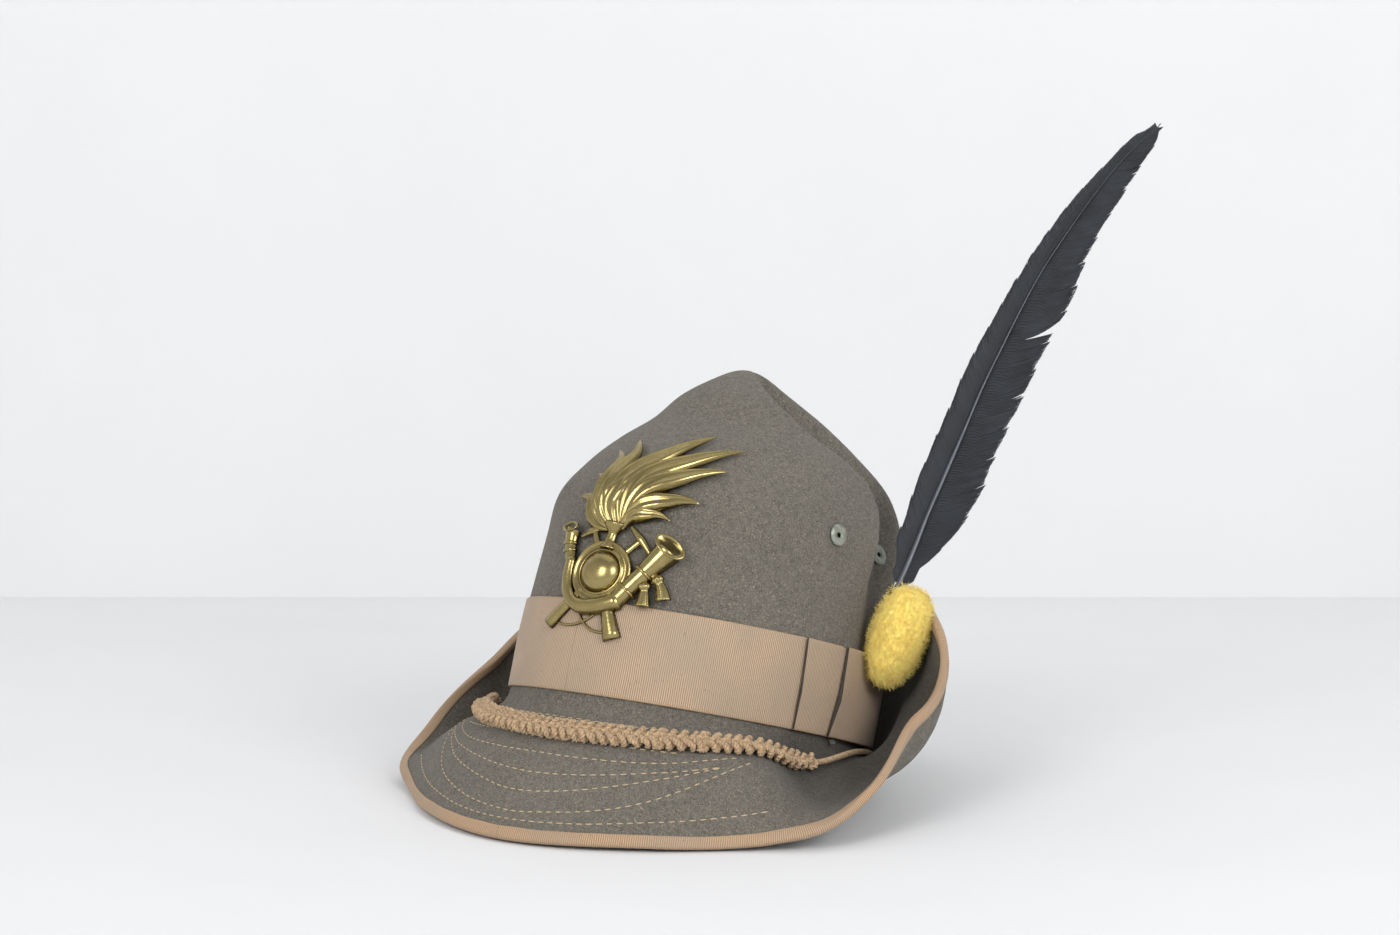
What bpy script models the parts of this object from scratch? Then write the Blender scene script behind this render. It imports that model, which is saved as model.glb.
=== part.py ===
"""An alpine hat of wool felt: turned-down front brim, turned-up back, ribbon band, plaited cord,
brass badge, wool tuft and feather.

Sizes are in metres and angles in degrees. Every piece is worked out in the hat's own frame: the
origin is the middle of the crown's foot, +Z runs up the crown, the front faces -Y and the
wearer's left side is +X. Azimuth 0 is the front and 90 the wearer's left. The empty named hat
carries all the pieces, leans them back as the hat lies on a flat surface, and sets them down.
"""

import math

import bmesh
import bpy
from mathutils import Matrix, Vector

# Driving sizes of the felt body
CROWN_LENGTH = 0.194
CROWN_WIDTH = 0.163
CROWN_HEIGHT = 0.178
FELT = 0.0025
TROUGH_DEPTH = 0.014
TROUGH_AZIMUTH = 108.0
TROUGH_SPREAD = 12.0
VISOR_WIDTH = 0.0775
FOOT_BEND = 0.011
SEAT_FLAT = 0.0004
COARSE_STEP = 9.0
FINE_STEP = 6.0
FINE_REACH = (54.0, 126.0)

# Ribbon and cord
CLEARANCE = 0.0003
RIBBON = 0.001
BAND_HEIGHT = 0.043
BAND_FOOT = 0.001
FOLD_START = 72.0
PLEAT_START = 89.0
FOLDS_END = 128.0
BINDING_WIDTH = 0.0065
BRAID_WIDTH = 0.012
BRAID_THICKNESS = 0.007
BRAID_WAY = 0.0195
BRAID_LIFT = 0.0010
BRAID_START = -70.0
BRAID_END = 80.0
BRAID_LOBES = 22
CORD_RADIUS = 0.0015
CORD_LIFT = 0.0027
CORD_WAY = 0.0055
CORD_TURN = 22.0
CORD_GAP = 1.4

# Vents
VENT_HEIGHT = 0.0947
VENT_AZIMUTHS = {"front": 76.5, "rear": 118.0}
VENT_HOLE = 0.0037

# Tuft, sleeve and feather, with their places in the hat's own frame
TUFT_MIDDLE = (CROWN_WIDTH / 2 + 0.0107, 0.0310, 0.0528)
TUFT_AXIS = (0.16, -0.02, 0.98)
TUFT_HALF_HEIGHT = 0.0245
TUFT_HALF_WIDTH = 0.0172
TUFT_DEPTH_SHARE = 0.66
TUFT_LOCKS = 11
SLEEVE_BORE = 0.0019
SLEEVE_RADIUS = 0.0025
SLEEVE_REACH = (0.0075, 0.0215)
QUILL_END = (TUFT_MIDDLE[0] - 0.0040, 0.0268, 0.0610)
QUILL_RADIUS = 0.0014
QUILL_TIP_RADIUS = 0.0004
FEATHER_FOOT = (TUFT_MIDDLE[0] - 0.0029, 0.0253, 0.0750)
FEATHER_TIP = (TUFT_MIDDLE[0] + 0.0509, 0.1190, 0.3356)
FEATHER_SIDE = (0.80, 0.49, -0.34)
VANE = 0.0008
VANE_CAMBER = 0.18

# Badge, laid on the crown: across from its middle line, and up from the crown's foot
BADGE_AZIMUTH = 4.6
BADGE_LIFT = 0.0018
BADGE_BACK = 0.0012
BOSS_MIDDLE = (0.0, 0.057)
BOSS_RADIUS = 0.0098
BOSS_RISE = 0.0062
RING_RADIUS = 0.0125
RING_THICKNESS = 0.0014
COLLAR_TOP = 0.080
ROUND_SECTION = ((-1.0, 0.0), (-0.6, 1.0), (0.6, 1.0), (1.0, 0.0))
RIDGED_SECTION = ((-1.0, 0.0), (0.0, 1.0), (1.0, 0.0))

# Rows up the crown, evenly spaced along its outline: shares of the height, of the half width and
# half length, and of the trough's depth, and how far back the middle of the section stands
CROWN_COLUMNS = ("height", "spread", "trough", "back")
CROWN_SECTIONS = (
    (0.000, 1.000, 0.00, 0.000),
    (0.150, 1.000, 0.00, 0.001),
    (0.300, 0.992, 0.15, 0.003),
    (0.440, 0.982, 0.60, 0.0055),
    (0.560, 0.960, 0.95, 0.0085),
    (0.660, 0.900, 1.00, 0.0115),
    (0.745, 0.788, 1.00, 0.0125),
    (0.820, 0.615, 0.95, 0.0122),
    (0.895, 0.415, 0.80, 0.0108),
    (0.955, 0.235, 0.45, 0.0096),
    (0.990, 0.105, 0.12, 0.0092),
    (1.000, 0.000, 0.00, 0.0090),
)

# Rows round the brim, from the front to the back: share of the visor's width, and the slopes
# of the brim where it leaves the crown and at its edge
BRIM_COLUMNS = ("azimuth", "width", "root_slope", "edge_slope")
BRIM_SECTIONS = (
    (0.0, 1.00, -52.0, -66.0),
    (35.0, 0.955, -38.0, -76.0),
    (58.0, 0.955, -26.0, -64.0),
    (75.0, 0.925, -64.0, 24.0),
    (90.0, 0.950, -52.0, 106.0),
    (110.0, 1.040, 36.0, 102.0),
    (135.0, 1.160, 70.0, 100.0),
    (180.0, 1.140, 64.0, 95.0),
)


# Rows up the feather from the tuft to the tip: share of its length, how far the shaft bows to
# its inner side, and the widths of the inner and outer vanes
FEATHER_COLUMNS = ("share", "bow", "inner", "outer")
FEATHER_SECTIONS = (
    (0.000, 0.0000, 0.0000, 0.0000),
    (0.040, 0.0006, 0.0012, 0.0010),
    (0.090, 0.0022, 0.0088, 0.0055),
    (0.150, 0.0045, 0.0108, 0.0142),
    (0.210, 0.0062, 0.0120, 0.0166),
    (0.310, 0.0092, 0.0120, 0.0172),
    (0.400, 0.0120, 0.0117, 0.0182),
    (0.490, 0.0136, 0.0103, 0.0186),
    (0.565, 0.0147, 0.0095, 0.0200),
    (0.630, 0.0151, 0.0082, 0.0180),
    (0.720, 0.0138, 0.0073, 0.0144),
    (0.800, 0.0118, 0.0062, 0.0132),
    (0.880, 0.0088, 0.0042, 0.0110),
    (0.950, 0.0044, 0.0034, 0.0070),
    (1.000, 0.0000, 0.0006, 0.0006),
)

# Tongues of the plume on the badge: where the tip stands across and up from the collar, how far
# the tongue bows to its left, and its widest half width
TONGUE_COLUMNS = ("across", "up", "bow", "half_width")
TONGUES = (
    (-0.0200, 0.0160, 0.0030, 0.0026),
    (-0.0130, 0.0250, 0.0035, 0.0027),
    (-0.0110, 0.0370, 0.0050, 0.0029),
    (-0.0050, 0.0430, 0.0060, 0.0030),
    (0.0190, 0.0500, 0.0080, 0.0032),
    (0.0360, 0.0460, 0.0080, 0.0030),
    (0.0370, 0.0340, 0.0060, 0.0029),
    (0.0340, 0.0180, 0.0040, 0.0026),
    (0.0240, 0.0090, 0.0025, 0.0024),
)

# Straight and curved bars of the badge: the points of the middle line, across and up from the
# boss, with the half width at each
BARS = {
    "left_axe": ((0.016, 0.018, 0.0016), (0.0, 0.0, 0.0016), (-0.024, -0.026, 0.0024)),
    "right_axe": ((-0.010, 0.020, 0.0016), (0.0, 0.0, 0.0016), (0.013, -0.030, 0.0026)),
    "left_pick": ((0.009, 0.023, 0.0009), (0.015, 0.0175, 0.0019), (0.021, 0.011, 0.0009)),
    "right_pick": ((-0.017, 0.016, 0.0009), (-0.010, 0.0195, 0.0019), (-0.003, 0.022, 0.0009)),
    "horn_mouth": ((-0.030, 0.012, 0.0013), (-0.024, 0.016, 0.0018), (-0.016, 0.006, 0.0020)),
    "horn_bow": ((-0.017, 0.008, 0.0020), (-0.010, -0.014, 0.0026), (0.012, -0.012, 0.0031)),
    "horn_bell": ((0.010, -0.012, 0.0030), (0.020, 0.004, 0.0038), (0.031, 0.013, 0.0068)),
    "left_tassel": ((0.018, 0.000, 0.0012), (0.021, -0.006, 0.0014), (0.023, -0.014, 0.0028)),
    "right_tassel": ((0.020, 0.002, 0.0012), (0.026, -0.001, 0.0014), (0.031, -0.009, 0.0028)),
}


def hermite(before, start, end, after, share):
    """A value between start and end. The first and last arguments are slopes times the step."""
    left = (2 * share**3 - 3 * share**2 + 1) * start + (share**3 - 2 * share**2 + share) * before
    right = (3 * share**2 - 2 * share**3) * end + (share**3 - share**2) * after
    return left + right


def slopes_of(places, values):
    """The slope of a smooth curve at each of its points, level at both ends."""
    slopes = [0.0]
    for k in range(1, len(places) - 1):
        before = (values[k] - values[k - 1]) / (places[k] - places[k - 1])
        after = (values[k + 1] - values[k]) / (places[k + 1] - places[k])
        slopes.append((before + after) / 2 if before * after > 0 else 0.0)
    return [*slopes, 0.0]


def read_table(rows, columns, name, place, places=None):
    """The named column, read smoothly between the rows."""
    column = columns.index(name)
    values = [row[column] for row in rows]
    places = places or [row[0] for row in rows]
    place = min(max(place, places[0]), places[-1])
    k = max(i for i in range(len(places) - 1) if places[i] <= place)
    step = places[k + 1] - places[k]
    slopes = slopes_of(places, values)
    share = (place - places[k]) / step
    return hermite(slopes[k] * step, values[k], values[k + 1], slopes[k + 1] * step, share)


def crown_row(rise, name):
    """A column of the crown's rows. Rise goes from 0 at the foot to 1 at the peak."""
    last = len(CROWN_SECTIONS) - 1
    places = [k / last for k in range(last + 1)]
    if name == "trough":
        return read_table(CROWN_SECTIONS, CROWN_COLUMNS, name, rise, places)
    column = CROWN_COLUMNS.index(name)
    values = [row[column] for row in CROWN_SECTIONS]
    k = min(int(rise * last), last - 1)
    before = values[k + 1] - values[k - 1] if k else 2 * (values[1] - values[0])
    after = values[k + 2] - values[k] if k + 2 <= last else 2 * (values[k + 1] - values[k])
    if name == "height" and k + 2 > last:
        after = 0.0
    return hermite(before / 2, values[k], values[k + 1], after / 2, rise * last - k)


def brim_row(azimuth, name):
    around = abs((azimuth + 180.0) % 360.0 - 180.0)
    return read_table(BRIM_SECTIONS, BRIM_COLUMNS, name, around)


def outward(azimuth):
    """The level direction that stands square on the crown's foot."""
    turn = math.radians(azimuth)
    across = math.sin(turn) / CROWN_WIDTH
    along = -math.cos(turn) / CROWN_LENGTH
    return Vector((across, along, 0.0)).normalized()


def trough_share(azimuth):
    """How much of a side trough's depth is reached here."""
    around = abs((azimuth + 180.0) % 360.0 - 180.0)
    return math.exp(-(abs((around - TROUGH_AZIMUTH) / TROUGH_SPREAD) ** 3))


def crown_outline(azimuth, rise):
    turn = math.radians(azimuth)
    spread = crown_row(rise, "spread")
    across = spread * CROWN_WIDTH / 2 * math.sin(turn)
    height = crown_row(rise, "height")
    along = crown_row(rise, "back") - spread * CROWN_LENGTH / 2 * math.cos(turn)
    return Vector((across, along, CROWN_HEIGHT * height))


def crown_face(azimuth, rise):
    """A point of the crown's outer face, with the side troughs pressed in."""
    step = 0.004
    low, high = max(rise - step, 0.0), min(rise + step, 1.0)
    climb = crown_outline(azimuth, high) - crown_outline(azimuth, low)
    inward = -outward(azimuth) * climb.z + Vector((0, 0, 1)) * climb.dot(outward(azimuth))
    if inward.length < 1e-9:
        inward = Vector((0, 0, -1))
    depth = TROUGH_DEPTH * crown_row(rise, "trough") * trough_share(azimuth)
    return crown_outline(azimuth, rise) + inward.normalized() * depth


def brim_slope(azimuth, share):
    """The slope of the brim's outline. It turns off the crown in the foot's bend."""
    width = VISOR_WIDTH * brim_row(azimuth, "width")
    root = brim_row(azimuth, "root_slope")
    way = share * width
    if way < FOOT_BEND:
        return -90.0 + (root + 90.0) * way / FOOT_BEND
    return root + (brim_row(azimuth, "edge_slope") - root) * (way - FOOT_BEND) / (width - FOOT_BEND)


def brim_face(azimuth, share, steps=48):
    """A point of the brim's upper face. Share goes from 0 at the crown's foot to 1 at the edge."""
    piece = VISOR_WIDTH * brim_row(azimuth, "width") * share / steps
    slopes = [math.radians(brim_slope(azimuth, share * (k + 0.5) / steps)) for k in range(steps)]
    reach = piece * sum(math.cos(slope) for slope in slopes)
    climb = piece * sum(math.sin(slope) for slope in slopes)
    foot = crown_outline(azimuth, 0.0)
    return foot + outward(azimuth) * reach + Vector((0, 0, climb))


def face_normal(face, azimuth, share):
    """The direction that stands square on a face, out of the crown or up from the brim."""
    step = 0.01
    low, high = max(share - step, 0.0), min(share + step, 1.0)
    around = face(azimuth + 1.0, share) - face(azimuth - 1.0, share)
    along = face(azimuth, high) - face(azimuth, low)
    normal = around.cross(along)
    return normal.normalized() if face is crown_face else -normal.normalized()


def on_crown(azimuth, rise, lift=0.0):
    if rise >= 1.0:
        return crown_face(azimuth, 1.0) + Vector((0, 0, lift))
    return crown_face(azimuth, rise) + face_normal(crown_face, azimuth, rise) * lift


def on_brim(azimuth, share, lift=0.0):
    return brim_face(azimuth, share) + face_normal(brim_face, azimuth, share) * lift


def rise_at(height):
    """The rise at which the crown's outline reaches this height."""
    low, high = 0.0, 1.0
    for _ in range(30):
        middle = (low + high) / 2
        if CROWN_HEIGHT * crown_row(middle, "height") < height:
            low = middle
        else:
            high = middle
    return low


def azimuths():
    """Places round the hat, closer together along its sides."""
    first, last = FINE_REACH
    half = [k * COARSE_STEP for k in range(int(first / COARSE_STEP))]
    half += [first + k * FINE_STEP for k in range(int((last - first) / FINE_STEP))]
    half += [last + k * COARSE_STEP for k in range(int((180.0 - last) / COARSE_STEP) + 1)]
    return half + [360.0 - a for a in reversed(half) if 0.0 < a < 180.0]


def material(name, colour, roughness, metallic=0.0):
    made = bpy.data.materials.new(name)
    made.use_nodes = True
    shader = made.node_tree.nodes["Principled BSDF"]
    shader.inputs["Base Color"].default_value = (*colour, 1.0)
    shader.inputs["Roughness"].default_value = roughness
    shader.inputs["Metallic"].default_value = metallic
    return made


def add_object(name, mesh, finish, parent):
    mesh.materials.append(finish)
    made = bpy.data.objects.new(name, mesh)
    bpy.context.scene.collection.objects.link(made)
    made.parent = parent
    return made


def add_loft(shape, rings, closed_way=False, crossed=False):
    """Skins rings of points. Open ends are closed with a fan of faces each.

    Crossed picks the other way to halve each four-sided piece, so that two skins lie alike.
    """
    rows = [[shape.verts.new(point) for point in ring] for ring in rings]
    count = len(rows[0])
    skin = []
    for k in range(len(rows) if closed_way else len(rows) - 1):
        below, above = rows[k], rows[(k + 1) % len(rows)]
        for i in range(count):
            j = (i + 1) % count
            corners = [below[i], below[j], above[j], above[i]]
            if crossed:
                corners = [*corners[1:], corners[0]]
            skin.append(shape.faces.new(corners[:3]))
            skin.append(shape.faces.new((corners[0], *corners[2:])))
    if not closed_way:
        ends = [shape.faces.new(reversed(rows[0])), shape.faces.new(rows[-1])]
        skin += ends if count < 5 else bmesh.ops.poke(shape, faces=ends)["faces"]
    bmesh.ops.recalc_face_normals(shape, faces=[f for f in skin if f.is_valid])


def finish_mesh(name, shape):
    mesh = bpy.data.meshes.new(name)
    shape.to_mesh(mesh)
    shape.free()
    mesh.shade_smooth()
    return mesh


def loft(name, rings, closed_way=False, crossed=False):
    shape = bmesh.new()
    add_loft(shape, rings, closed_way, crossed)
    return finish_mesh(name, shape)


def combine(target, other, operation):
    """Applies one solid to another. The second one stays hidden beside the first."""
    other.hide_render = True
    other.display_type = "WIRE"
    modifier = target.modifiers.new(other.name, "BOOLEAN")
    modifier.object = other
    modifier.operation = operation
    modifier.solver = "EXACT"
    modifier.use_self = operation == "UNION"


def tube_rings(points, radii, sides):
    """Rings round a line of points."""
    rings = []
    side = Vector((1.0, 0.0, 0.0))
    for k, point in enumerate(points):
        along = (points[min(k + 1, len(points) - 1)] - points[max(k - 1, 0)]).normalized()
        side = (side - along * side.dot(along)).normalized()
        across = along.cross(side)
        turns = [2 * math.pi * i / sides for i in range(sides)]
        rings.append(
            [point + (side * math.cos(t) + across * math.sin(t)) * radii[k] for t in turns]
        )
    return rings


def vent_frame(side, azimuth):
    """The middle of a vent on the crown's face, and its outward direction."""
    rise = rise_at(VENT_HEIGHT)
    return on_crown(side * azimuth, rise), face_normal(crown_face, side * azimuth, rise)


def turned(middle, axis, profile, sides):
    """Rings of a profile turned round an axis, for a loft that closes on itself."""
    across = axis.orthogonal().normalized()
    other = axis.cross(across)
    rings = []
    for k in range(sides):
        turn = 2 * math.pi * k / sides
        out = across * math.cos(turn) + other * math.sin(turn)
        rings.append([middle + out * radius + axis * height for radius, height in profile])
    return rings


def build_felt(parent, felt):
    """The crown and brim, which are one piece of felt."""
    around = azimuths()
    tops = (0.99, 0.965, 0.93, 0.88, 0.82, 0.75, 0.68, 0.60, 0.51, 0.41, 0.28, 0.14)
    rises = [rise_at(CROWN_HEIGHT * share) for share in tops]
    shares = [0.0, 0.04, 0.08, 0.12, 0.20, 0.34, 0.50, 0.66, 0.80]
    outer = [[on_crown(a, rise) for a in around] for rise in rises]
    inner = [[on_crown(a, rise, -FELT) for a in around] for rise in rises]
    outer += [[on_brim(a, share) for a in around] for share in shares]
    inner += [[on_brim(a, share, -FELT) for a in around] for share in shares]
    for edge in (binding_root, lambda a: 1.0):
        outer.append([on_brim(a, edge(a)) for a in around])
        inner.append([on_brim(a, edge(a), -FELT) for a in around])
    made = add_object("felt_body", loft("felt_body", [*outer, *reversed(inner)]), felt, parent)
    for side, wing in ((1, "left"), (-1, "right")):
        for where, azimuth in VENT_AZIMUTHS.items():
            middle, axis = vent_frame(side, azimuth)
            ends = [middle - axis * 3 * FELT, middle + axis * 3 * FELT]
            hole = loft(f"vent_cut_{wing}_{where}", tube_rings(ends, [VENT_HOLE] * 2, 12))
            combine(made, add_object(hole.name, hole, felt, parent), "DIFFERENCE")
    return made


def binding_root(azimuth):
    """The share of the brim's width at which the binding starts."""
    return 1.0 - BINDING_WIDTH / (VISOR_WIDTH * brim_row(azimuth, "width"))


def build_binding(parent, ribbon):
    """The ribbon folded over the brim's edge."""
    inner, outer = CLEARANCE, CLEARANCE + RIBBON
    rings = []
    for a in azimuths():
        root = binding_root(a)
        edge = brim_face(a, 1.0)
        up = face_normal(brim_face, a, 1.0)
        out = (edge - brim_face(a, 0.98)).normalized()
        middle = edge - up * FELT / 2
        rings.append(
            [
                on_brim(a, root, outer),
                on_brim(a, 1.0, outer),
                middle + out * outer + up * FELT / 2,
                middle + out * outer * 1.4,
                middle + out * outer - up * FELT / 2,
                on_brim(a, 1.0, -FELT - outer),
                on_brim(a, root, -FELT - outer),
                on_brim(a, root, -FELT - inner),
                on_brim(a, 1.0, -FELT - inner) + out * inner,
                on_brim(a, 1.0, inner) + out * inner,
                on_brim(a, root, inner),
            ]
        )
    mesh = loft("brim_binding", rings, closed_way=True, crossed=True)
    return add_object("brim_binding", mesh, ribbon, parent)


def build_ribbon(name, around, layer, parent, ribbon):
    """A ribbon on the crown's foot. Layer 0 lies on the felt, and each next one on the last."""
    lift = CLEARANCE + layer * (RIBBON + CLEARANCE)
    heights = [BAND_FOOT + BAND_HEIGHT * share for share in (0.0, 0.5, 1.0)]
    rises = [rise_at(height) for height in heights]
    rings = []
    for a in around:
        outer = [on_crown(a, rise, lift + RIBBON) for rise in rises]
        inner = [on_crown(a, rise, lift) for rise in reversed(rises)]
        rings.append(outer + inner)
    closed = abs(around[-1] - around[0]) > 300.0
    return add_object(name, loft(name, rings, closed_way=closed), ribbon, parent)


def braid_rings():
    """Rings of the plaited cord, which swells at each plait."""
    places = 2 * BRAID_LOBES
    corners = ((-1.0, 0.5), (-0.72, 0.0), (0.72, 0.0), (1.0, 0.5), (0.7, 0.93), (-0.7, 0.93))
    rings = []
    for k in range(places + 1):
        azimuth = BRAID_START + (BRAID_END - BRAID_START) * k / places
        swell = 1.0 if k % 2 else 0.86
        width = VISOR_WIDTH * brim_row(azimuth, "width")
        ring = []
        for across, up in corners:
            way = BRAID_WAY + across * swell * BRAID_WIDTH / 2
            lift = BRAID_LIFT + up * swell * BRAID_THICKNESS
            ring.append(on_brim(azimuth, way / width, lift))
        rings.append(ring)
    return rings


def build_cord(parent, thread):
    """The twisted cord that runs from the braid's left end round the back to its right end."""
    start, end = BRAID_END + CORD_GAP, 360.0 + BRAID_START - CORD_GAP
    count = 44
    points = []
    for k in range(count + 1):
        azimuth = start + (end - start) * k / count
        near = min(azimuth - start, end - azimuth) / CORD_TURN
        share = min(near, 1.0)
        ease = share * share * (3.0 - 2.0 * share)
        way = BRAID_WAY + (CORD_WAY - BRAID_WAY) * ease
        width = VISOR_WIDTH * brim_row(azimuth, "width")
        points.append(on_brim(azimuth, way / width, CORD_LIFT))
    curve = bpy.data.curves.new("twisted_cord", "CURVE")
    curve.dimensions = "3D"
    curve.bevel_depth = CORD_RADIUS
    curve.bevel_resolution = 2
    curve.use_fill_caps = True
    line = curve.splines.new("POLY")
    line.points.add(count)
    for point, place in zip(line.points, points):
        point.co = (*place, 1.0)
    return add_object("twisted_cord", curve, thread, parent)


def build_vents(parent, enamel):
    """The eyelets of the crown's side vents."""
    profile = (
        (0.0012, 0.0013),
        (0.0034, 0.0018),
        (0.0052, 0.0012),
        (0.0052, 0.0008),
        (0.0031, 0.0008),
        (0.0031, -0.0038),
        (0.0046, -0.0038),
        (0.0046, -0.0043),
        (0.0025, -0.0043),
        (0.0024, 0.0004),
        (0.0012, 0.0006),
    )
    for side, wing in ((1, "left"), (-1, "right")):
        for where, azimuth in VENT_AZIMUTHS.items():
            rings = turned(*vent_frame(side, azimuth), profile, 10)
            name = f"vent_eyelet_{wing}_{where}"
            add_object(name, loft(name, rings, closed_way=True), enamel, parent)


def feather_frame():
    """The feather's long, side and face directions."""
    along = (Vector(FEATHER_TIP) - Vector(FEATHER_FOOT)).normalized()
    side = Vector(FEATHER_SIDE)
    side = (side - along * side.dot(along)).normalized()
    return along, side, along.cross(side)


def shaft_point(share):
    foot, tip = Vector(FEATHER_FOOT), Vector(FEATHER_TIP)
    bow = read_table(FEATHER_SECTIONS, FEATHER_COLUMNS, "bow", share)
    return foot.lerp(tip, share) - feather_frame()[1] * bow


def shaft_radius(share):
    return QUILL_RADIUS + (QUILL_TIP_RADIUS - QUILL_RADIUS) * max(share, 0.0)


def build_feather(parent, barbs, horn):
    """The shaft and the two vanes."""
    _, side, face = feather_frame()
    shares = [row[0] for row in FEATHER_SECTIONS]
    points = [Vector(QUILL_END)] + [shaft_point(share) for share in shares]
    radii = [QUILL_RADIUS * 0.8] + [shaft_radius(share) for share in shares]
    shaft = loft("feather_shaft", tube_rings(points, radii, 6))
    add_object("feather_shaft", shaft, horn, parent)
    for name, column, way in (("inner_vane", "inner", -1), ("outer_vane", "outer", 1)):
        rings = []
        for row in FEATHER_SECTIONS[1:]:
            width = row[FEATHER_COLUMNS.index(column)]
            root = shaft_radius(row[0]) + CLEARANCE
            near = shaft_point(row[0]) + side * way * root
            middle = near + side * way * width * 0.5 - face * width * VANE_CAMBER * 0.3
            far = near + side * way * width - face * width * VANE_CAMBER
            half = face * VANE / 2
            rings.append(
                [near + half, middle + half, far + half / 2, far - half / 2, middle - half, near - half]
            )
        add_object(name, loft(name, rings), barbs, parent)


def tuft_frame():
    """The tuft's long, outward and side directions."""
    along = Vector(TUFT_AXIS).normalized()
    place = Vector(TUFT_MIDDLE)
    azimuth = math.degrees(math.atan2(place.x / CROWN_WIDTH, -place.y / CROWN_LENGTH))
    out = outward(azimuth)
    out = (out - along * out.dot(along)).normalized()
    return along, out, along.cross(out)


def build_tuft(parent, wool):
    """The wool tuft, with a blind hole in its top for the sleeve."""
    along, out, side = tuft_frame()
    rows, sides = 10, 2 * TUFT_LOCKS
    rings = []
    for k in range(rows):
        turn = math.pi * (k + 0.5) / rows
        height = -math.cos(turn)
        radius = TUFT_HALF_WIDTH * math.sin(turn) * (1.0 + 0.16 * height)
        ring = []
        for i in range(sides):
            angle = 2 * math.pi * i / sides + 0.35 * height
            lock = 1.0 if i % 2 else 0.90
            flat = (side * math.cos(angle) + out * math.sin(angle) * TUFT_DEPTH_SHARE) * lock
            ring.append(Vector(TUFT_MIDDLE) + along * height * TUFT_HALF_HEIGHT + flat * radius)
        rings.append(ring)
    made = add_object("wool_tuft", loft("wool_tuft", rings), wool, parent)
    foot, head = sleeve_ends()
    reach = (head - foot).normalized() * 0.001
    ends = [foot - reach, head + reach * 8]
    radius = SLEEVE_RADIUS + CLEARANCE
    hole = loft("tuft_cut", tube_rings(ends, [radius] * 2, 12))
    combine(made, add_object(hole.name, hole, wool, parent), "DIFFERENCE")


def sleeve_ends():
    """The feather's quill runs down the middle of the sleeve."""
    foot, head = Vector(QUILL_END), Vector(FEATHER_FOOT)
    line = (head - foot).normalized()
    return foot - line * 0.0005, foot + line * (SLEEVE_REACH[1] - SLEEVE_REACH[0])


def build_sleeve(parent, brass):
    foot, head = sleeve_ends()
    line = (head - foot).normalized()
    length = (head - foot).length
    profile = (
        (SLEEVE_BORE, 0.0),
        (SLEEVE_RADIUS, 0.0),
        (SLEEVE_RADIUS, length),
        (SLEEVE_BORE, length),
    )
    rings = turned(foot, line, profile, 12)
    mesh = loft("feather_sleeve", rings, closed_way=True)
    add_object("feather_sleeve", mesh, brass, parent)


def on_badge(across, up, lift):
    """A place on the badge, which follows the crown's face."""
    rise = rise_at(up)
    length = math.radians(CROWN_WIDTH / 2) * crown_row(rise, "spread")
    return on_crown(BADGE_AZIMUTH + across / length, rise, BADGE_LIFT + lift)


def bar_rings(points, halves, steps, section):
    """Rings of a bar through three points in a bow. The section is in half widths."""
    rings = []
    for k in range(steps + 1):
        t = k / steps
        # The line passes through all three points
        mix = (2 * (t - 0.5) * (t - 1), -4 * t * (t - 1), 2 * t * (t - 0.5))
        tilt = (4 * t - 3, 4 - 8 * t, 4 * t - 1)
        place = [sum(m * p[i] for m, p in zip(mix, points)) for i in (0, 1)]
        along = [sum(m * p[i] for m, p in zip(tilt, points)) for i in (0, 1)]
        size = math.hypot(*along)
        side = (-along[1] / size, along[0] / size)
        half = halves(t)
        ring = []
        for out, up in section:
            across = place[0] + side[0] * half * out
            ring.append(on_badge(across, place[1] + side[1] * half * out, up * half))
        rings.append(ring)
    return rings


def disc_ring(radius, lift, sides):
    """A ring of badge points round the boss."""
    across, up = BOSS_MIDDLE
    turns = [2 * math.pi * i / sides for i in range(sides)]
    return [on_badge(across + radius * math.cos(t), up + radius * math.sin(t), lift) for t in turns]


def spread_along(halves):
    """A half width that changes evenly from the first to the second and on to the third."""

    def half_at(t):
        k = 0 if t < 0.5 else 1
        return halves[k] + (halves[k + 1] - halves[k]) * (2 * t - k)

    return half_at


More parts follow.
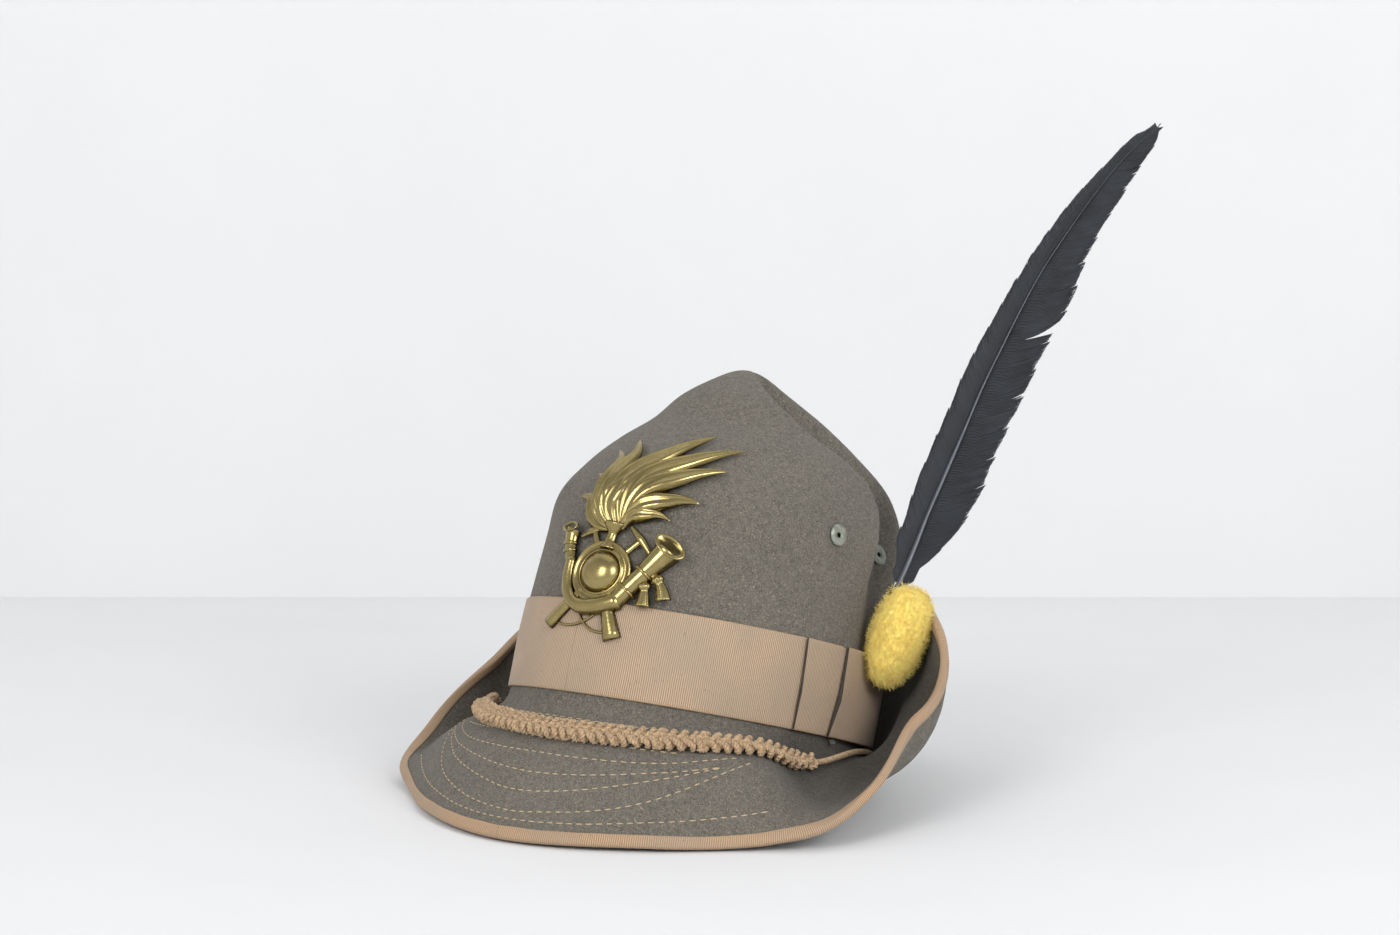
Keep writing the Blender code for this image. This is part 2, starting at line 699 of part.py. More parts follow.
def build_badge(parent, brass):
    """A swept plume over a domed boss in a ring, with a curled horn and crossed ice axes."""
    plate_radius = RING_RADIUS + RING_THICKNESS * 1.5
    plate = loft("badge", [disc_ring(plate_radius, lift, 16) for lift in (0.0, BADGE_BACK)])
    made = add_object("badge", plate, brass, parent)

    relief = bmesh.new()
    dome = ((1.0, 0.0), (1.0, 0.14), (0.93, 0.36), (0.72, 0.72), (0.42, 0.94), (0.12, 1.0))
    low = BADGE_BACK / 2
    add_loft(relief, [disc_ring(BOSS_RADIUS * r, low + BOSS_RISE * rise, 16) for r, rise in dome])
    profile = ((-1.0, 0.0), (-0.8, 1.3), (0.8, 1.3), (1.0, 0.0))
    hoops = [
        disc_ring(RING_RADIUS + r * RING_THICKNESS, low + rise * RING_THICKNESS, 20)
        for r, rise in profile
    ]
    add_loft(relief, hoops, closed_way=True)
    for points in BARS.values():
        line = [(across, BOSS_MIDDLE[1] + up) for across, up, _ in points]
        add_loft(relief, bar_rings(line, spread_along([p[2] for p in points]), 5, ROUND_SECTION))
    for across, up, bow, half in TONGUES:
        foot = (across * 0.06 + 0.0012, COLLAR_TOP - 0.003)
        tip = (across, COLLAR_TOP + up)
        size = math.hypot(tip[0] - foot[0], tip[1] - foot[1])
        centre = (
            (foot[0] + tip[0]) / 2 - (tip[1] - foot[1]) / size * bow,
            (foot[1] + tip[1]) / 2 + (tip[0] - foot[0]) / size * bow,
        )
        halves = spread_along((0.35 * half, half, 0.12 * half))
        add_loft(relief, bar_rings([foot, centre, tip], halves, 4, RIDGED_SECTION))
    collar = [(0.0, BOSS_MIDDLE[1] + RING_RADIUS), (0.0006, 0.0745), (0.0012, COLLAR_TOP + 0.002)]
    add_loft(relief, bar_rings(collar, spread_along((0.0050, 0.0026, 0.0050)), 4, ROUND_SECTION))
    other = add_object("badge_relief", finish_mesh("badge_relief", relief), brass, parent)
    combine(made, other, "UNION")


def resting_lean(points):
    """The lean at which the front and the back of the hat touch a level surface together."""
    low, high = 2.0, 40.0
    for _ in range(40):
        middle = (low + high) / 2
        turn = math.radians(middle)
        heights = [(p.y, p.z * math.cos(turn) - p.y * math.sin(turn)) for p in points]
        front = min(height for y, height in heights if y < 0)
        back = min(height for y, height in heights if y > 0)
        if front > back:
            high = middle
        else:
            low = middle
    return low


def set_down(parent, resting, pieces):
    """Leans the hat back onto a level surface, and presses it flat where it rests.

    The origin comes to the middle of the base of the box round all the pieces.
    """
    points = [Vector(v.co) for piece in resting for v in piece.data.vertices]
    lean = resting_lean(points)
    turn = Matrix.Rotation(-math.radians(lean), 3, "X")
    floor = min((turn @ point).z for point in points) + SEAT_FLAT
    for piece in resting:
        for vertex in piece.data.vertices:
            short = floor - (turn @ vertex.co).z
            if short > 0:
                vertex.co += turn.inverted() @ Vector((0, 0, short))
    places = [turn @ v.co for piece in pieces for v in piece.data.vertices]
    across = [place.x for place in places]
    along = [place.y for place in places]
    middle = Vector((min(across) + max(across), min(along) + max(along), 0.0)) / 2
    parent.rotation_euler = (-math.radians(lean), 0.0, 0.0)
    parent.location = -middle - Vector((0.0, 0.0, floor))


def main():
    for old in list(bpy.data.objects):
        bpy.data.objects.remove(old)
    hat = bpy.data.objects.new("hat", None)
    bpy.context.scene.collection.objects.link(hat)
    felt = material("grey_green_felt", (0.17, 0.16, 0.13), 0.95)
    ribbon = material("tan_grosgrain", (0.50, 0.38, 0.26), 0.75)
    thread = material("tan_cord", (0.29, 0.23, 0.16), 0.80)
    enamel = material("green_grey_enamel", (0.16, 0.16, 0.13), 0.45)
    brass = material("old_brass", (0.42, 0.34, 0.15), 0.35, 1.0)
    wool = material("yellow_wool", (0.98, 0.68, 0.13), 0.95)
    barbs = material("black_barbs", (0.05, 0.055, 0.07), 0.55)
    horn = material("dark_horn", (0.10, 0.10, 0.11), 0.35)
    resting = [build_felt(hat, felt), build_binding(hat, ribbon)]
    build_ribbon("hat_band", azimuths(), 0, hat, ribbon)
    for name, start, layer in (("band_fold", FOLD_START, 1), ("band_pleat", PLEAT_START, 2)):
        count = 9
        around = [start + (FOLDS_END - layer - start) * k / count for k in range(count + 1)]
        build_ribbon(name, around, layer, hat, ribbon)
    add_object("braid", loft("braid", braid_rings()), thread, hat)
    build_cord(hat, thread)
    build_vents(hat, enamel)
    build_badge(hat, brass)
    build_tuft(hat, wool)
    build_sleeve(hat, brass)
    build_feather(hat, barbs, horn)
    pieces = [made for made in hat.children if made.type == "MESH" and not made.hide_render]
    set_down(hat, resting, pieces)


main()
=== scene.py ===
"""The looks of the alpine hat: felt, ribbon, cords, brass badge, wool tuft and feather.

Every shape is worked out in the hat's own frame, as in the solid model: the origin is the middle
of the crown's foot, +Z runs up the crown, the front faces -Y and the wearer's left side is +X.
Azimuth 0 is the front and 90 the wearer's left. Sizes are in metres and angles in degrees.
"""

import math
import random

import bpy
import numpy as np
from mathutils import Matrix, Vector, noise


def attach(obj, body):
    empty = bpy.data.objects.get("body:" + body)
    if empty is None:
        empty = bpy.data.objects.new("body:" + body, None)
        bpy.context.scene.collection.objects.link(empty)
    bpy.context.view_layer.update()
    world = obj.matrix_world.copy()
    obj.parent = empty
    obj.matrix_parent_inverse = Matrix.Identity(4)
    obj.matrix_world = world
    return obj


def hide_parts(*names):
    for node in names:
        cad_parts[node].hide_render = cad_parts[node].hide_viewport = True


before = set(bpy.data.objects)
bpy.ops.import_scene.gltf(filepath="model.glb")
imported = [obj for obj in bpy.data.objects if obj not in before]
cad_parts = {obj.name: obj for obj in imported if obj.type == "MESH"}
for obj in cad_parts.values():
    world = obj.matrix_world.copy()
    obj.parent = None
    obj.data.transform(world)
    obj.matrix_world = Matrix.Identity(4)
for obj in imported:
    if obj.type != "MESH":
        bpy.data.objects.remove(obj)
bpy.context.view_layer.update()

bl_info = {
    "name": "Alpine hat",
    "version": (1, 0, 0),
    "blender": (4, 5, 0),
    "location": "View3D > Sidebar > Hat",
    "description": "Dresses the packed alpine hat with felt, ribbon, cord, brass, wool and feather",
    "category": "Add Mesh",
}

# Where the hat's own frame stands on the table
HAT_PLACE = (-0.00456024, -0.02878279, 0.03363173)
HAT_LEAN = -0.27535203
HAT = Matrix.Translation(HAT_PLACE) @ Matrix.Rotation(HAT_LEAN, 4, "X")

# Felt body
CROWN_LENGTH = 0.194
CROWN_WIDTH = 0.163
CROWN_HEIGHT = 0.1746
FELT = 0.0025
TROUGH_DEPTH = 0.014
TROUGH_AZIMUTH = 110.0
TROUGH_SPREAD = 13.0
# The near ridge of the side trough: rises up the crown, and the azimuth at each
RIDGE_RISES = (0.0, 0.30, 0.46, 0.53, 0.58, 0.64, 0.75, 1.0)
RIDGE_AZIMUTHS = (97.0, 97.0, 96.0, 93.0, 84.0, 72.0, 60.0, 50.0)
VISOR_WIDTH = 0.0775
FOOT_BEND = 0.011
UNEVEN = 0.0004

# Ribbon and cord
CLEARANCE = 0.0003
RIBBON = 0.001
BAND_HEIGHT = 0.043
BAND_FOOT = 0.001
FOLDS_END = 128.0
BINDING_WIDTH = 0.0046
BINDING_RIBBON = 0.0006
BRAID_START = -57.0
BRAID_END = 80.0
# How far the braid lies from the crown's foot: azimuths, and the distance at each
BRAID_AZIMUTHS = (-57, -48, -38, -25, 0, 23, 44, 59, 68, 90)
BRAID_WAYS = (0.0140, 0.0152, 0.0176, 0.0200, 0.0208, 0.0210, 0.0205, 0.0205, 0.0172, 0.0140)
BRAID_SWING = 0.0031
BRAID_LIFT = 0.0034
BRAID_RISE = 0.0015
BRAID_TWIN = 0.0010
BRAID_CORD = 0.0014
BRAID_TWIST = 0.0028
CORD_RADIUS = 0.0015
CORD_LIFT = 0.0022
CORD_WAY = 0.0055
CORD_TURN = 30.0

# Vents
VENT_HEIGHT = 0.0947
VENT_AZIMUTHS = {"front": 76.5, "rear": 118.0}
VENT_HOLE = 0.0030

# Tuft, sleeve and feather
BARB_THICKNESS = 0.00012
TUFT_MIDDLE = (0.0922, 0.0310, 0.0528)
TUFT_AXIS = (0.16, -0.02, 0.98)
TUFT_HALF_HEIGHT = 0.0245
TUFT_HALF_WIDTH = 0.0172
TUFT_DEPTH_SHARE = 0.66
QUILL_END = (0.0882, 0.0268, 0.0610)
QUILL_RADIUS = 0.0014
QUILL_TIP_RADIUS = 0.0004
FEATHER_FOOT = (0.0893, 0.0253, 0.0750)
FEATHER_TIP = (0.1431, 0.1190, 0.3356)
FEATHER_SIDE = (0.80, 0.49, -0.34)
VANE_CAMBER = 0.18

# Badge
BADGE_AZIMUTH = 4.6
BADGE_LIFT = 0.0018
BADGE_BACK = 0.0012
BOSS_MIDDLE = (0.0, 0.057)
BOSS_RADIUS = 0.0098
BOSS_RISE = 0.0062
RING_RADIUS = 0.0125
COLLAR_TOP = 0.080

# How far the cut of a vent reaches in and out, and rows of felt above the crown's foot that get painted
# shade
VENT_REACH = 0.008
PAINTED_SHADE_ROWS = 12

# Stage: where the camera stands, the floor's gap below the hat, half the sheets' width, their steps
# towards the camera and up, and what the lamps look at
CAMERA_PLACE = (0.7872, -1.0706, 0.2807)
STAGE_GAP = 0.0003
STAGE_HALF = 4.0
FLOOR_WAYS = (6.0, 2.0, 0.6, 0.2, -0.2)
WALL_HEIGHTS = (0.0, 0.2, 0.6, 1.2, 4.0)
LAMP_AIM = (0.0, 0.0, 0.1)

# Places round the hat and rows on the felt's fine grid
AROUND = 240
CROWN_ROWS = 84
BRIM_ROWS = 60

CROWN_COLUMNS = ("height", "spread", "trough", "back")
CROWN_SECTIONS = (
    (0.000, 1.000, 0.00, 0.000),
    (0.150, 1.000, 0.00, 0.001),
    (0.300, 0.992, 0.15, 0.003),
    (0.440, 0.982, 0.60, 0.0055),
    (0.560, 0.982, 1.05, 0.0093),
    (0.660, 0.902, 1.15, 0.0150),
    (0.745, 0.776, 1.15, 0.0182),
    (0.820, 0.598, 0.95, 0.0172),
    (0.895, 0.414, 0.80, 0.0092),
    (0.955, 0.220, 0.60, 0.0040),
    (0.990, 0.094, 0.25, 0.0024),
    (1.000, 0.000, 0.00, 0.0022),
)

BRIM_COLUMNS = ("azimuth", "width", "root_slope", "edge_slope")
BRIM_SECTIONS = (
    (0.0, 0.974, -54.7, -74.0),
    (35.0, 0.923, -40.3, -81.4),
    (58.0, 0.916, -23.1, -67.5),
    (75.0, 0.917, -60.0, 36.8),
    (90.0, 0.991, -39.8, 104.8),
    (110.0, 1.125, 49.2, 104.0),
    (135.0, 1.205, 70.7, 94.7),
    (180.0, 1.147, 64.7, 93.5),
)

FEATHER_COLUMNS = ("share", "bow", "inner", "outer")
FEATHER_SECTIONS = (
    (0.000, 0.0000, 0.0000, 0.0000),
    (0.040, 0.0006, 0.0012, 0.0010),
    (0.090, 0.0022, 0.0088, 0.0055),
    (0.150, 0.0045, 0.0108, 0.0142),
    (0.210, 0.0062, 0.0120, 0.0166),
    (0.310, 0.0092, 0.0120, 0.0172),
    (0.400, 0.0120, 0.0117, 0.0182),
    (0.490, 0.0136, 0.0103, 0.0186),
    (0.565, 0.0147, 0.0095, 0.0200),
    (0.630, 0.0151, 0.0082, 0.0180),
    (0.720, 0.0138, 0.0073, 0.0144),
    (0.800, 0.0118, 0.0062, 0.0132),
    (0.880, 0.0088, 0.0042, 0.0110),
    (0.950, 0.0044, 0.0034, 0.0070),
    (1.000, 0.0000, 0.0006, 0.0006),
)

# Splits in the feather's vanes: share of the length at the shaft, and how wide the barbs part
SPLITS = {"outer": ((0.365, 0.0035), (0.497, 0.020), (0.86, 0.003)), "inner": ((0.62, 0.0015),)}

# Tongues of the badge's plume: tip across and up from the collar, bow and half width
TONGUES = (
    (-0.0200, 0.0160, 0.0034, 0.0032),
    (-0.0130, 0.0250, 0.0040, 0.0034),
    (0.0040, 0.0300, 0.0050, 0.0040),
    (-0.0110, 0.0370, 0.0052, 0.0036),
    (-0.0050, 0.0430, 0.0062, 0.0040),
    (0.0190, 0.0500, 0.0086, 0.0044),
    (0.0370, 0.0340, 0.0070, 0.0038),
    (0.0360, 0.0460, 0.0088, 0.0042),
    (0.0340, 0.0180, 0.0050, 0.0034),
    (0.0240, 0.0090, 0.0032, 0.0031),
)

# Shares along a tongue, a tassel and the collar, and the width at each as a share of the widest
TONGUE_TAPER = ((0, 0.15, 0.38, 0.55, 0.72, 0.9, 1.0), (0.34, 0.66, 1.0, 0.98, 0.72, 0.32, 0.05))
TASSEL_TAPER = ((0, 0.35, 0.42, 0.5, 0.56, 0.62, 1.0), (1.0, 1.0, 1.7, 1.7, 0.9, 0.95, 1.0))
COLLAR_HALVES = ((0, 0.25, 0.55, 0.85, 0.93, 1.0), (0.0046, 0.0028, 0.0026, 0.0056, 0.0062, 0.0050))

# Raised bands round the horn: place, half width and the way along the horn
HORN_BANDS = (
    ((-0.0213, 0.0690), 0.0042, (0.1, -1.0)),
    ((-0.0205, 0.0655), 0.0039, (0.2, -1.0)),
    ((0.0150, 0.0500), 0.0054, (0.6, 0.8)),
    ((0.0205, 0.0590), 0.0056, (0.6, 0.8)),
)

# Profiles: the ring by its distance out and height, the dome by shares of the boss's radius and rise
RING_PROFILE = (
    (-0.0026, 0.0), (-0.0026, 0.0023), (-0.0022, 0.0029), (-0.0017, 0.0024),
    (-0.0009, 0.0017), (0.0002, 0.0016), (0.0010, 0.0021), (0.0016, 0.0026),
    (0.0021, 0.0024), (0.0024, 0.0014), (0.0024, 0.0),
)
DOME_PROFILE = (
    (1.0, 0.0), (1.0, 0.10), (0.97, 0.24), (0.90, 0.42), (0.80, 0.60),
    (0.66, 0.76), (0.50, 0.88), (0.33, 0.955), (0.16, 0.99), (0.04, 1.0),
)

# Bars of the badge: the middle line across and up from the boss, with the half width at each
BARS = {
    "left_axe": ((0.016, 0.018, 0.0016), (0.0, 0.0, 0.0016), (-0.024, -0.026, 0.0034)),
    "right_axe": ((-0.010, 0.020, 0.0016), (0.0, 0.0, 0.0016), (0.013, -0.030, 0.0042)),
    "left_pick": ((0.009, 0.023, 0.0009), (0.015, 0.0175, 0.0019), (0.021, 0.011, 0.0009)),
    "right_pick": ((-0.017, 0.016, 0.0009), (-0.010, 0.0195, 0.0019), (-0.003, 0.022, 0.0009)),
    "horn_mouth": ((-0.0215, 0.0190, 0.0042), (-0.0215, 0.0130, 0.0034), (-0.0185, 0.0040, 0.0029)),
    "horn_bow": ((-0.0185, 0.0060, 0.0028), (-0.0110, -0.0150, 0.0034), (0.0125, -0.0120, 0.0044)),
    "horn_bell": ((0.0100, -0.0135, 0.0042), (0.0205, 0.0015, 0.0046), (0.0285, 0.0135, 0.0066)),
    "left_tassel": ((0.020, 0.002, 0.0016), (0.0225, -0.005, 0.0018), (0.0235, -0.0135, 0.0036)),
    "right_tassel": ((0.021, 0.003, 0.0016), (0.0275, -0.001, 0.0018), (0.0315, -0.0095, 0.0036)),
    "left_sling": ((-0.019, -0.025, 0.0006), (-0.005, -0.024, 0.0007), (0.006, -0.014, 0.0006)),
    "right_sling": ((-0.010, -0.013, 0.0006), (-0.002, -0.025, 0.0007), (0.010, -0.027, 0.0006)),
}

# Rows of stitches on the visor: azimuth and share of the brim's width
STITCH_ROWS = (
    ((-46, 0.20), (-20, 0.165), (3, 0.155), (25, 0.165), (50, 0.16)),
    ((-42, 0.36), (-26, 0.34), (-8, 0.30), (3, 0.29), (14, 0.30), (26, 0.34), (41, 0.36)),
    ((-54, 0.37), (-33, 0.45), (-12, 0.44), (1, 0.43), (12, 0.44), (33, 0.45), (54, 0.37)),
    ((-50, 0.46), (-34, 0.52), (-18, 0.55), (0, 0.57), (18, 0.56), (34, 0.52), (50, 0.46)),
    ((-50, 0.46), (-37, 0.56), (-27, 0.62), (-10, 0.68), (-1, 0.70), (12, 0.68), (28, 0.61), (50, 0.46)),
    ((-57, 0.40), (-41, 0.62), (-31, 0.73), (-18, 0.80), (-5, 0.83), (7, 0.83), (31, 0.74), (57, 0.40)),
    ((-58, 0.80), (-30, 0.86), (-15, 0.885), (0, 0.89), (17, 0.885), (30, 0.865), (58, 0.80)),
)


def hermite(before, start, end, after, share):
    """A value between start and end. The first and last arguments are slopes times the step."""
    left = (2 * share**3 - 3 * share**2 + 1) * start + (share**3 - 2 * share**2 + share) * before
    right = (3 * share**2 - 2 * share**3) * end + (share**3 - share**2) * after
    return left + right


def slopes_of(places, values):
    """The slope of a smooth curve at each of its points, level at both ends."""
    slopes = [0.0]
    for k in range(1, len(places) - 1):
        before = (values[k] - values[k - 1]) / (places[k] - places[k - 1])
        after = (values[k + 1] - values[k]) / (places[k + 1] - places[k])
        slopes.append((before + after) / 2 if before * after > 0 else 0.0)
    return [*slopes, 0.0]


def read_table(rows, columns, name, place, places=None):
    """The named column, read smoothly between the rows."""
    column = columns.index(name)
    values = [row[column] for row in rows]
    places = places or [row[0] for row in rows]
    place = min(max(place, places[0]), places[-1])
    k = max(i for i in range(len(places) - 1) if places[i] <= place)
    step = places[k + 1] - places[k]
    slopes = slopes_of(places, values)
    share = (place - places[k]) / step
    return hermite(slopes[k] * step, values[k], values[k + 1], slopes[k + 1] * step, share)


def crown_row(rise, name):
    """A column of the crown's rows. Rise goes from 0 at the foot to 1 at the peak."""
    last = len(CROWN_SECTIONS) - 1
    places = [k / last for k in range(last + 1)]
    if name == "trough":
        return read_table(CROWN_SECTIONS, CROWN_COLUMNS, name, rise, places)
    column = CROWN_COLUMNS.index(name)
    values = [row[column] for row in CROWN_SECTIONS]
    k = min(int(rise * last), last - 1)
    before = values[k + 1] - values[k - 1] if k else 2 * (values[1] - values[0])
    after = values[k + 2] - values[k] if k + 2 <= last else 2 * (values[k + 1] - values[k])
    if name == "height" and k + 2 > last:
        after = 0.0
    return hermite(before / 2, values[k], values[k + 1], after / 2, rise * last - k)


def outward(azimuths):
    """The level directions that stand square on the crown's foot."""
    turn = np.radians(azimuths)
    flat = np.stack([np.sin(turn) / CROWN_WIDTH, -np.cos(turn) / CROWN_LENGTH, 0 * turn], -1)
    return flat / np.linalg.norm(flat, axis=-1, keepdims=True)


def crown_outline(azimuths, rises):
    """Points of the crown without its troughs, one row for each azimuth."""
    turn = np.radians(azimuths)[:, None]
    spread = np.array([crown_row(r, "spread") for r in rises])[None, :]
    height = np.array([crown_row(r, "height") for r in rises])[None, :]
    back = np.array([crown_row(r, "back") for r in rises])[None, :]
    across = spread * CROWN_WIDTH / 2 * np.sin(turn)
    along = back - spread * CROWN_LENGTH / 2 * np.cos(turn)
    return np.stack([across, along, CROWN_HEIGHT * height + 0 * across], -1)


def unit(vectors):
    size = np.linalg.norm(vectors, axis=-1, keepdims=True)
    return vectors / np.maximum(size, 1e-12)


def crown_grid(azimuths, rises):
    """The crown's outer face, with the side troughs pressed in."""
    step = 0.004
    low = crown_outline(azimuths, np.clip(rises - step, 0, 1))
    high = crown_outline(azimuths, np.clip(rises + step, 0, 1))
    climb = high - low
    out = outward(azimuths)[:, None, :]
    up = np.array([0.0, 0.0, 1.0])
    inward = -out * climb[..., 2:3] + up * (climb * out).sum(-1, keepdims=True)
    around = np.abs((azimuths + 180.0) % 360.0 - 180.0)
    ridge = np.interp(rises, RIDGE_RISES, RIDGE_AZIMUTHS)[None, :]
    near = np.clip((TROUGH_AZIMUTH - around[:, None]) / (TROUGH_AZIMUTH - ridge), 0.0, 1.0)
    far = np.exp(-(np.clip((around - TROUGH_AZIMUTH) / TROUGH_SPREAD, 0.0, 9.0) ** 3))[:, None]
    share = (1.0 - near**2) ** 0.85 * far
    depth = TROUGH_DEPTH * np.array([crown_row(r, "trough") for r in rises])[None, :] * share
    return crown_outline(azimuths, rises) + unit(inward) * depth[..., None]


def brim_grid(azimuths, rows):
    """The brim's upper face, from the crown's foot to the edge."""
    around = np.abs((azimuths + 180.0) % 360.0 - 180.0)
    width, root, edge = (
        np.array([read_table(BRIM_SECTIONS, BRIM_COLUMNS, name, a) for a in around])[:, None]
        for name in ("width", "root_slope", "edge_slope")
    )
    width = width * VISOR_WIDTH
    way = (np.arange(rows) + 0.5)[None, :] / rows * width
    far = root + (edge - root) * (way - FOOT_BEND) / (width - FOOT_BEND)
    slope = np.radians(np.where(way < FOOT_BEND, -90.0 + (root + 90.0) * way / FOOT_BEND, far))
    blank = np.zeros((len(azimuths), 1))
    reach = np.hstack([blank, np.cumsum(np.cos(slope), 1)]) * width / rows
    climb = np.hstack([blank, np.cumsum(np.sin(slope), 1)]) * width / rows
    foot = crown_outline(azimuths, np.zeros(1))
    up = np.array([0.0, 0.0, 1.0])
    return foot + outward(azimuths)[:, None, :] * reach[..., None] + up * climb[..., None]


class Skin:
    """A face of the felt on an even grid round the hat, with the direction square on it."""

    def __init__(self, points, way):
        around = np.roll(points, -1, 0) - np.roll(points, 1, 0)
        along = np.gradient(points, axis=1)
        self.normals = unit(np.cross(around, along)) * way
        self.points = points

    def roughen(self, depth):
        """Gives the face the low, wide unevenness of blocked felt."""
        flat = self.points.reshape(-1, 3)
        lift = np.array([noise.noise(Vector(p) * 28.0) + 0.5 * noise.noise(Vector(p) * 65.0) for p in flat])
        self.points = self.points + self.normals * (lift.reshape(self.points.shape[:2])[..., None] * depth)

    def at(self, azimuth, share, lift=0.0):
        """Points at these azimuths and shares of the way, this far off the face."""
        azimuth, share, lift = np.broadcast_arrays(np.asarray(azimuth, float), share, lift)
        turn = (azimuth % 360.0) / 360.0 * AROUND
        low = np.floor(turn).astype(int)
        near, far, side = low % AROUND, (low + 1) % AROUND, (turn - low)[..., None]
        last = self.points.shape[1] - 1
        along = np.clip(share, 0.0, 1.0) * last
        row = np.minimum(along.astype(int), last - 1)
        part = (along - row)[..., None]

        def mix(grid):
            start = grid[near, row] * (1 - side) + grid[far, row] * side
            end = grid[near, row + 1] * (1 - side) + grid[far, row + 1] * side
            return start * (1 - part) + end * part

        return mix(self.points) + unit(mix(self.normals)) * lift[..., None]

    def normal(self, azimuth, share):
        return unit(self.at(azimuth, share, 0.001) - self.at(azimuth, share, 0.0))


TURNS = np.arange(AROUND) * 360.0 / AROUND
RISES = np.linspace(0.0, 1.0, CROWN_ROWS + 1)
CROWN = Skin(crown_grid(TURNS, RISES), 1.0)
CROWN.normals[:, -1] = (0.0, 0.0, 1.0)
BRIM = Skin(brim_grid(TURNS, BRIM_ROWS), -1.0)
for skin in (CROWN, BRIM):
    skin.roughen(UNEVEN)
HEIGHTS = np.array([CROWN_HEIGHT * crown_row(r, "height") for r in RISES])
BRIM_WIDTHS = VISOR_WIDTH * np.array(
    [read_table(BRIM_SECTIONS, BRIM_COLUMNS, "width", azimuth) for azimuth in range(181)]
)


def rise_at(height):
    """The rise at which the crown's outline reaches this height."""
    return np.interp(height, HEIGHTS, RISES)


def brim_width(azimuth):
    return np.interp(np.abs((np.asarray(azimuth) + 180.0) % 360.0 - 180.0), np.arange(181), BRIM_WIDTHS)


class Shape:
    """Points and faces of one piece, with a surface map and a tone for each point."""

    def __init__(self):
        self.points, self.faces, self.maps, self.tones = [], [], [], []
        self.count = 0

    def add(self, points, faces, maps, tone=0.5):
        points = np.asarray(points, float).reshape(-1, 3)
        shifted = [[i + self.count for i in face] for face in faces]
        if volume_of(points, faces) < 0:
            shifted = [face[::-1] for face in shifted]
            maps = [corner[::-1] for corner in maps]
        self.points.append(points)
        self.faces += shifted
        self.maps += maps
        self.tones.append(np.broadcast_to(np.asarray(tone, float).reshape(-1), (len(points),)))
        self.count += len(points)

    def lattice(self, grid, us=None, vs=None, closed_way=False, tone=0.5):
        """Skins rings of points. Rings close on themselves, and open ends get a fan each."""
        ways, sides = grid.shape[:2]
        us = np.arange(ways + 1) * 0.001 if us is None else np.asarray(us)
        vs = np.arange(sides + 1) * 0.001 if vs is None else np.asarray(vs)
        points = [grid.reshape(-1, 3)]
        tones = np.broadcast_to(np.asarray(tone, float), (ways, sides)).reshape(-1)
        faces, maps = [], []
        for k in range(ways if closed_way else ways - 1):
            row, after = k * sides, (k + 1) % ways * sides
            u, w = float(us[k]), float(us[k + 1])
            for i in range(sides):
                j = (i + 1) % sides
                faces.append((row + i, row + j, after + j, after + i))
                v, x = float(vs[i]), float(vs[i + 1])
                maps.append(((u, v), (u, x), (w, x), (w, v)))
        if not closed_way:
            ends = grid[[0, -1]].mean(1)
            points.append(ends)
            tones = np.concatenate([tones, [tones[0], tones[-1]]])
            for end, start, order in ((0, 0, -1), (1, (ways - 1) * sides, 1)):
                middle = ways * sides + end
                u = float(us[0] if end == 0 else us[ways - 1])
                for i in range(sides):
                    j = (i + 1) % sides
                    corners = (start + i, start + j, middle)[::order]
                    faces.append(corners)
                    v, x = float(vs[i]), float(vs[i + 1])
                    maps.append(((u, v), (u, x), (u, v))[::order])
        self.add(np.concatenate(points), faces, maps, tones)

    def finish(self, name, look, replaces=()):
        """Sets the shape down on the table as one piece that rides with the hat."""
        points = np.concatenate(self.points)
        turn = np.array(HAT)
        points = points @ turn[:3, :3].T + turn[:3, 3]
        points[:, 2] = np.maximum(points[:, 2], 0.0)
        mesh = bpy.data.meshes.new(name)
        mesh.from_pydata(points.tolist(), [], self.faces)
        layer = mesh.uv_layers.new(name="surface")
        flat = np.array([value for corner in self.maps for place in corner for value in place], np.float32)
        layer.data.foreach_set("uv", flat)
        tone = mesh.attributes.new("tone", "FLOAT", "POINT")
        tone.data.foreach_set("value", np.concatenate(self.tones).astype(np.float32))
        mesh.shade_smooth()
        mesh.materials.append(look)
        made = bpy.data.objects.new(name, mesh)
        bpy.context.scene.collection.objects.link(made)
        return settle(made, replaces)


def settle(made, replaces=()):
    """Lets a piece ride with the hat and stand for its plain solids."""
    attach(made, "root")
    if replaces:
        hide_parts(*replaces)
    return made


def volume_of(points, faces):
    """Six times the volume inside the faces, negative where they point inwards."""
    total = 0.0
    middle = points.mean(0)
    three = np.array([(f[0], f[1], f[2]) for f in faces])
    four = np.array([(f[0], f[2], f[3]) for f in faces if len(f) == 4])
    for corners in (three, four):
        if len(corners):
            a, b, c = (points[corners[:, k]] - middle for k in range(3))
            total += (a * np.cross(b, c)).sum()
    return total


def travel(points):
    """How far along a line of points each one is."""
    steps = np.linalg.norm(np.diff(points, axis=0), axis=1)
    return np.concatenate([[0.0], np.cumsum(steps)])


def resample(points, count):
    """The same line with evenly spaced points."""
    way = travel(points)
    places = np.linspace(0.0, way[-1], count)
    return np.stack([np.interp(places, way, points[:, k]) for k in range(3)], -1)


def frames_along(points, first=(0.3, 0.1, 0.9)):
    """The side and other directions along a line of points, turned as little as possible."""
    along = unit(np.gradient(points, axis=0))
    sides = np.zeros_like(points)
    side = np.array(first, float)
    for k, way in enumerate(along):
        side = side - way * side.dot(way)
        side = side / max(np.linalg.norm(side), 1e-9)
        sides[k] = side
    return sides, np.cross(along, sides)


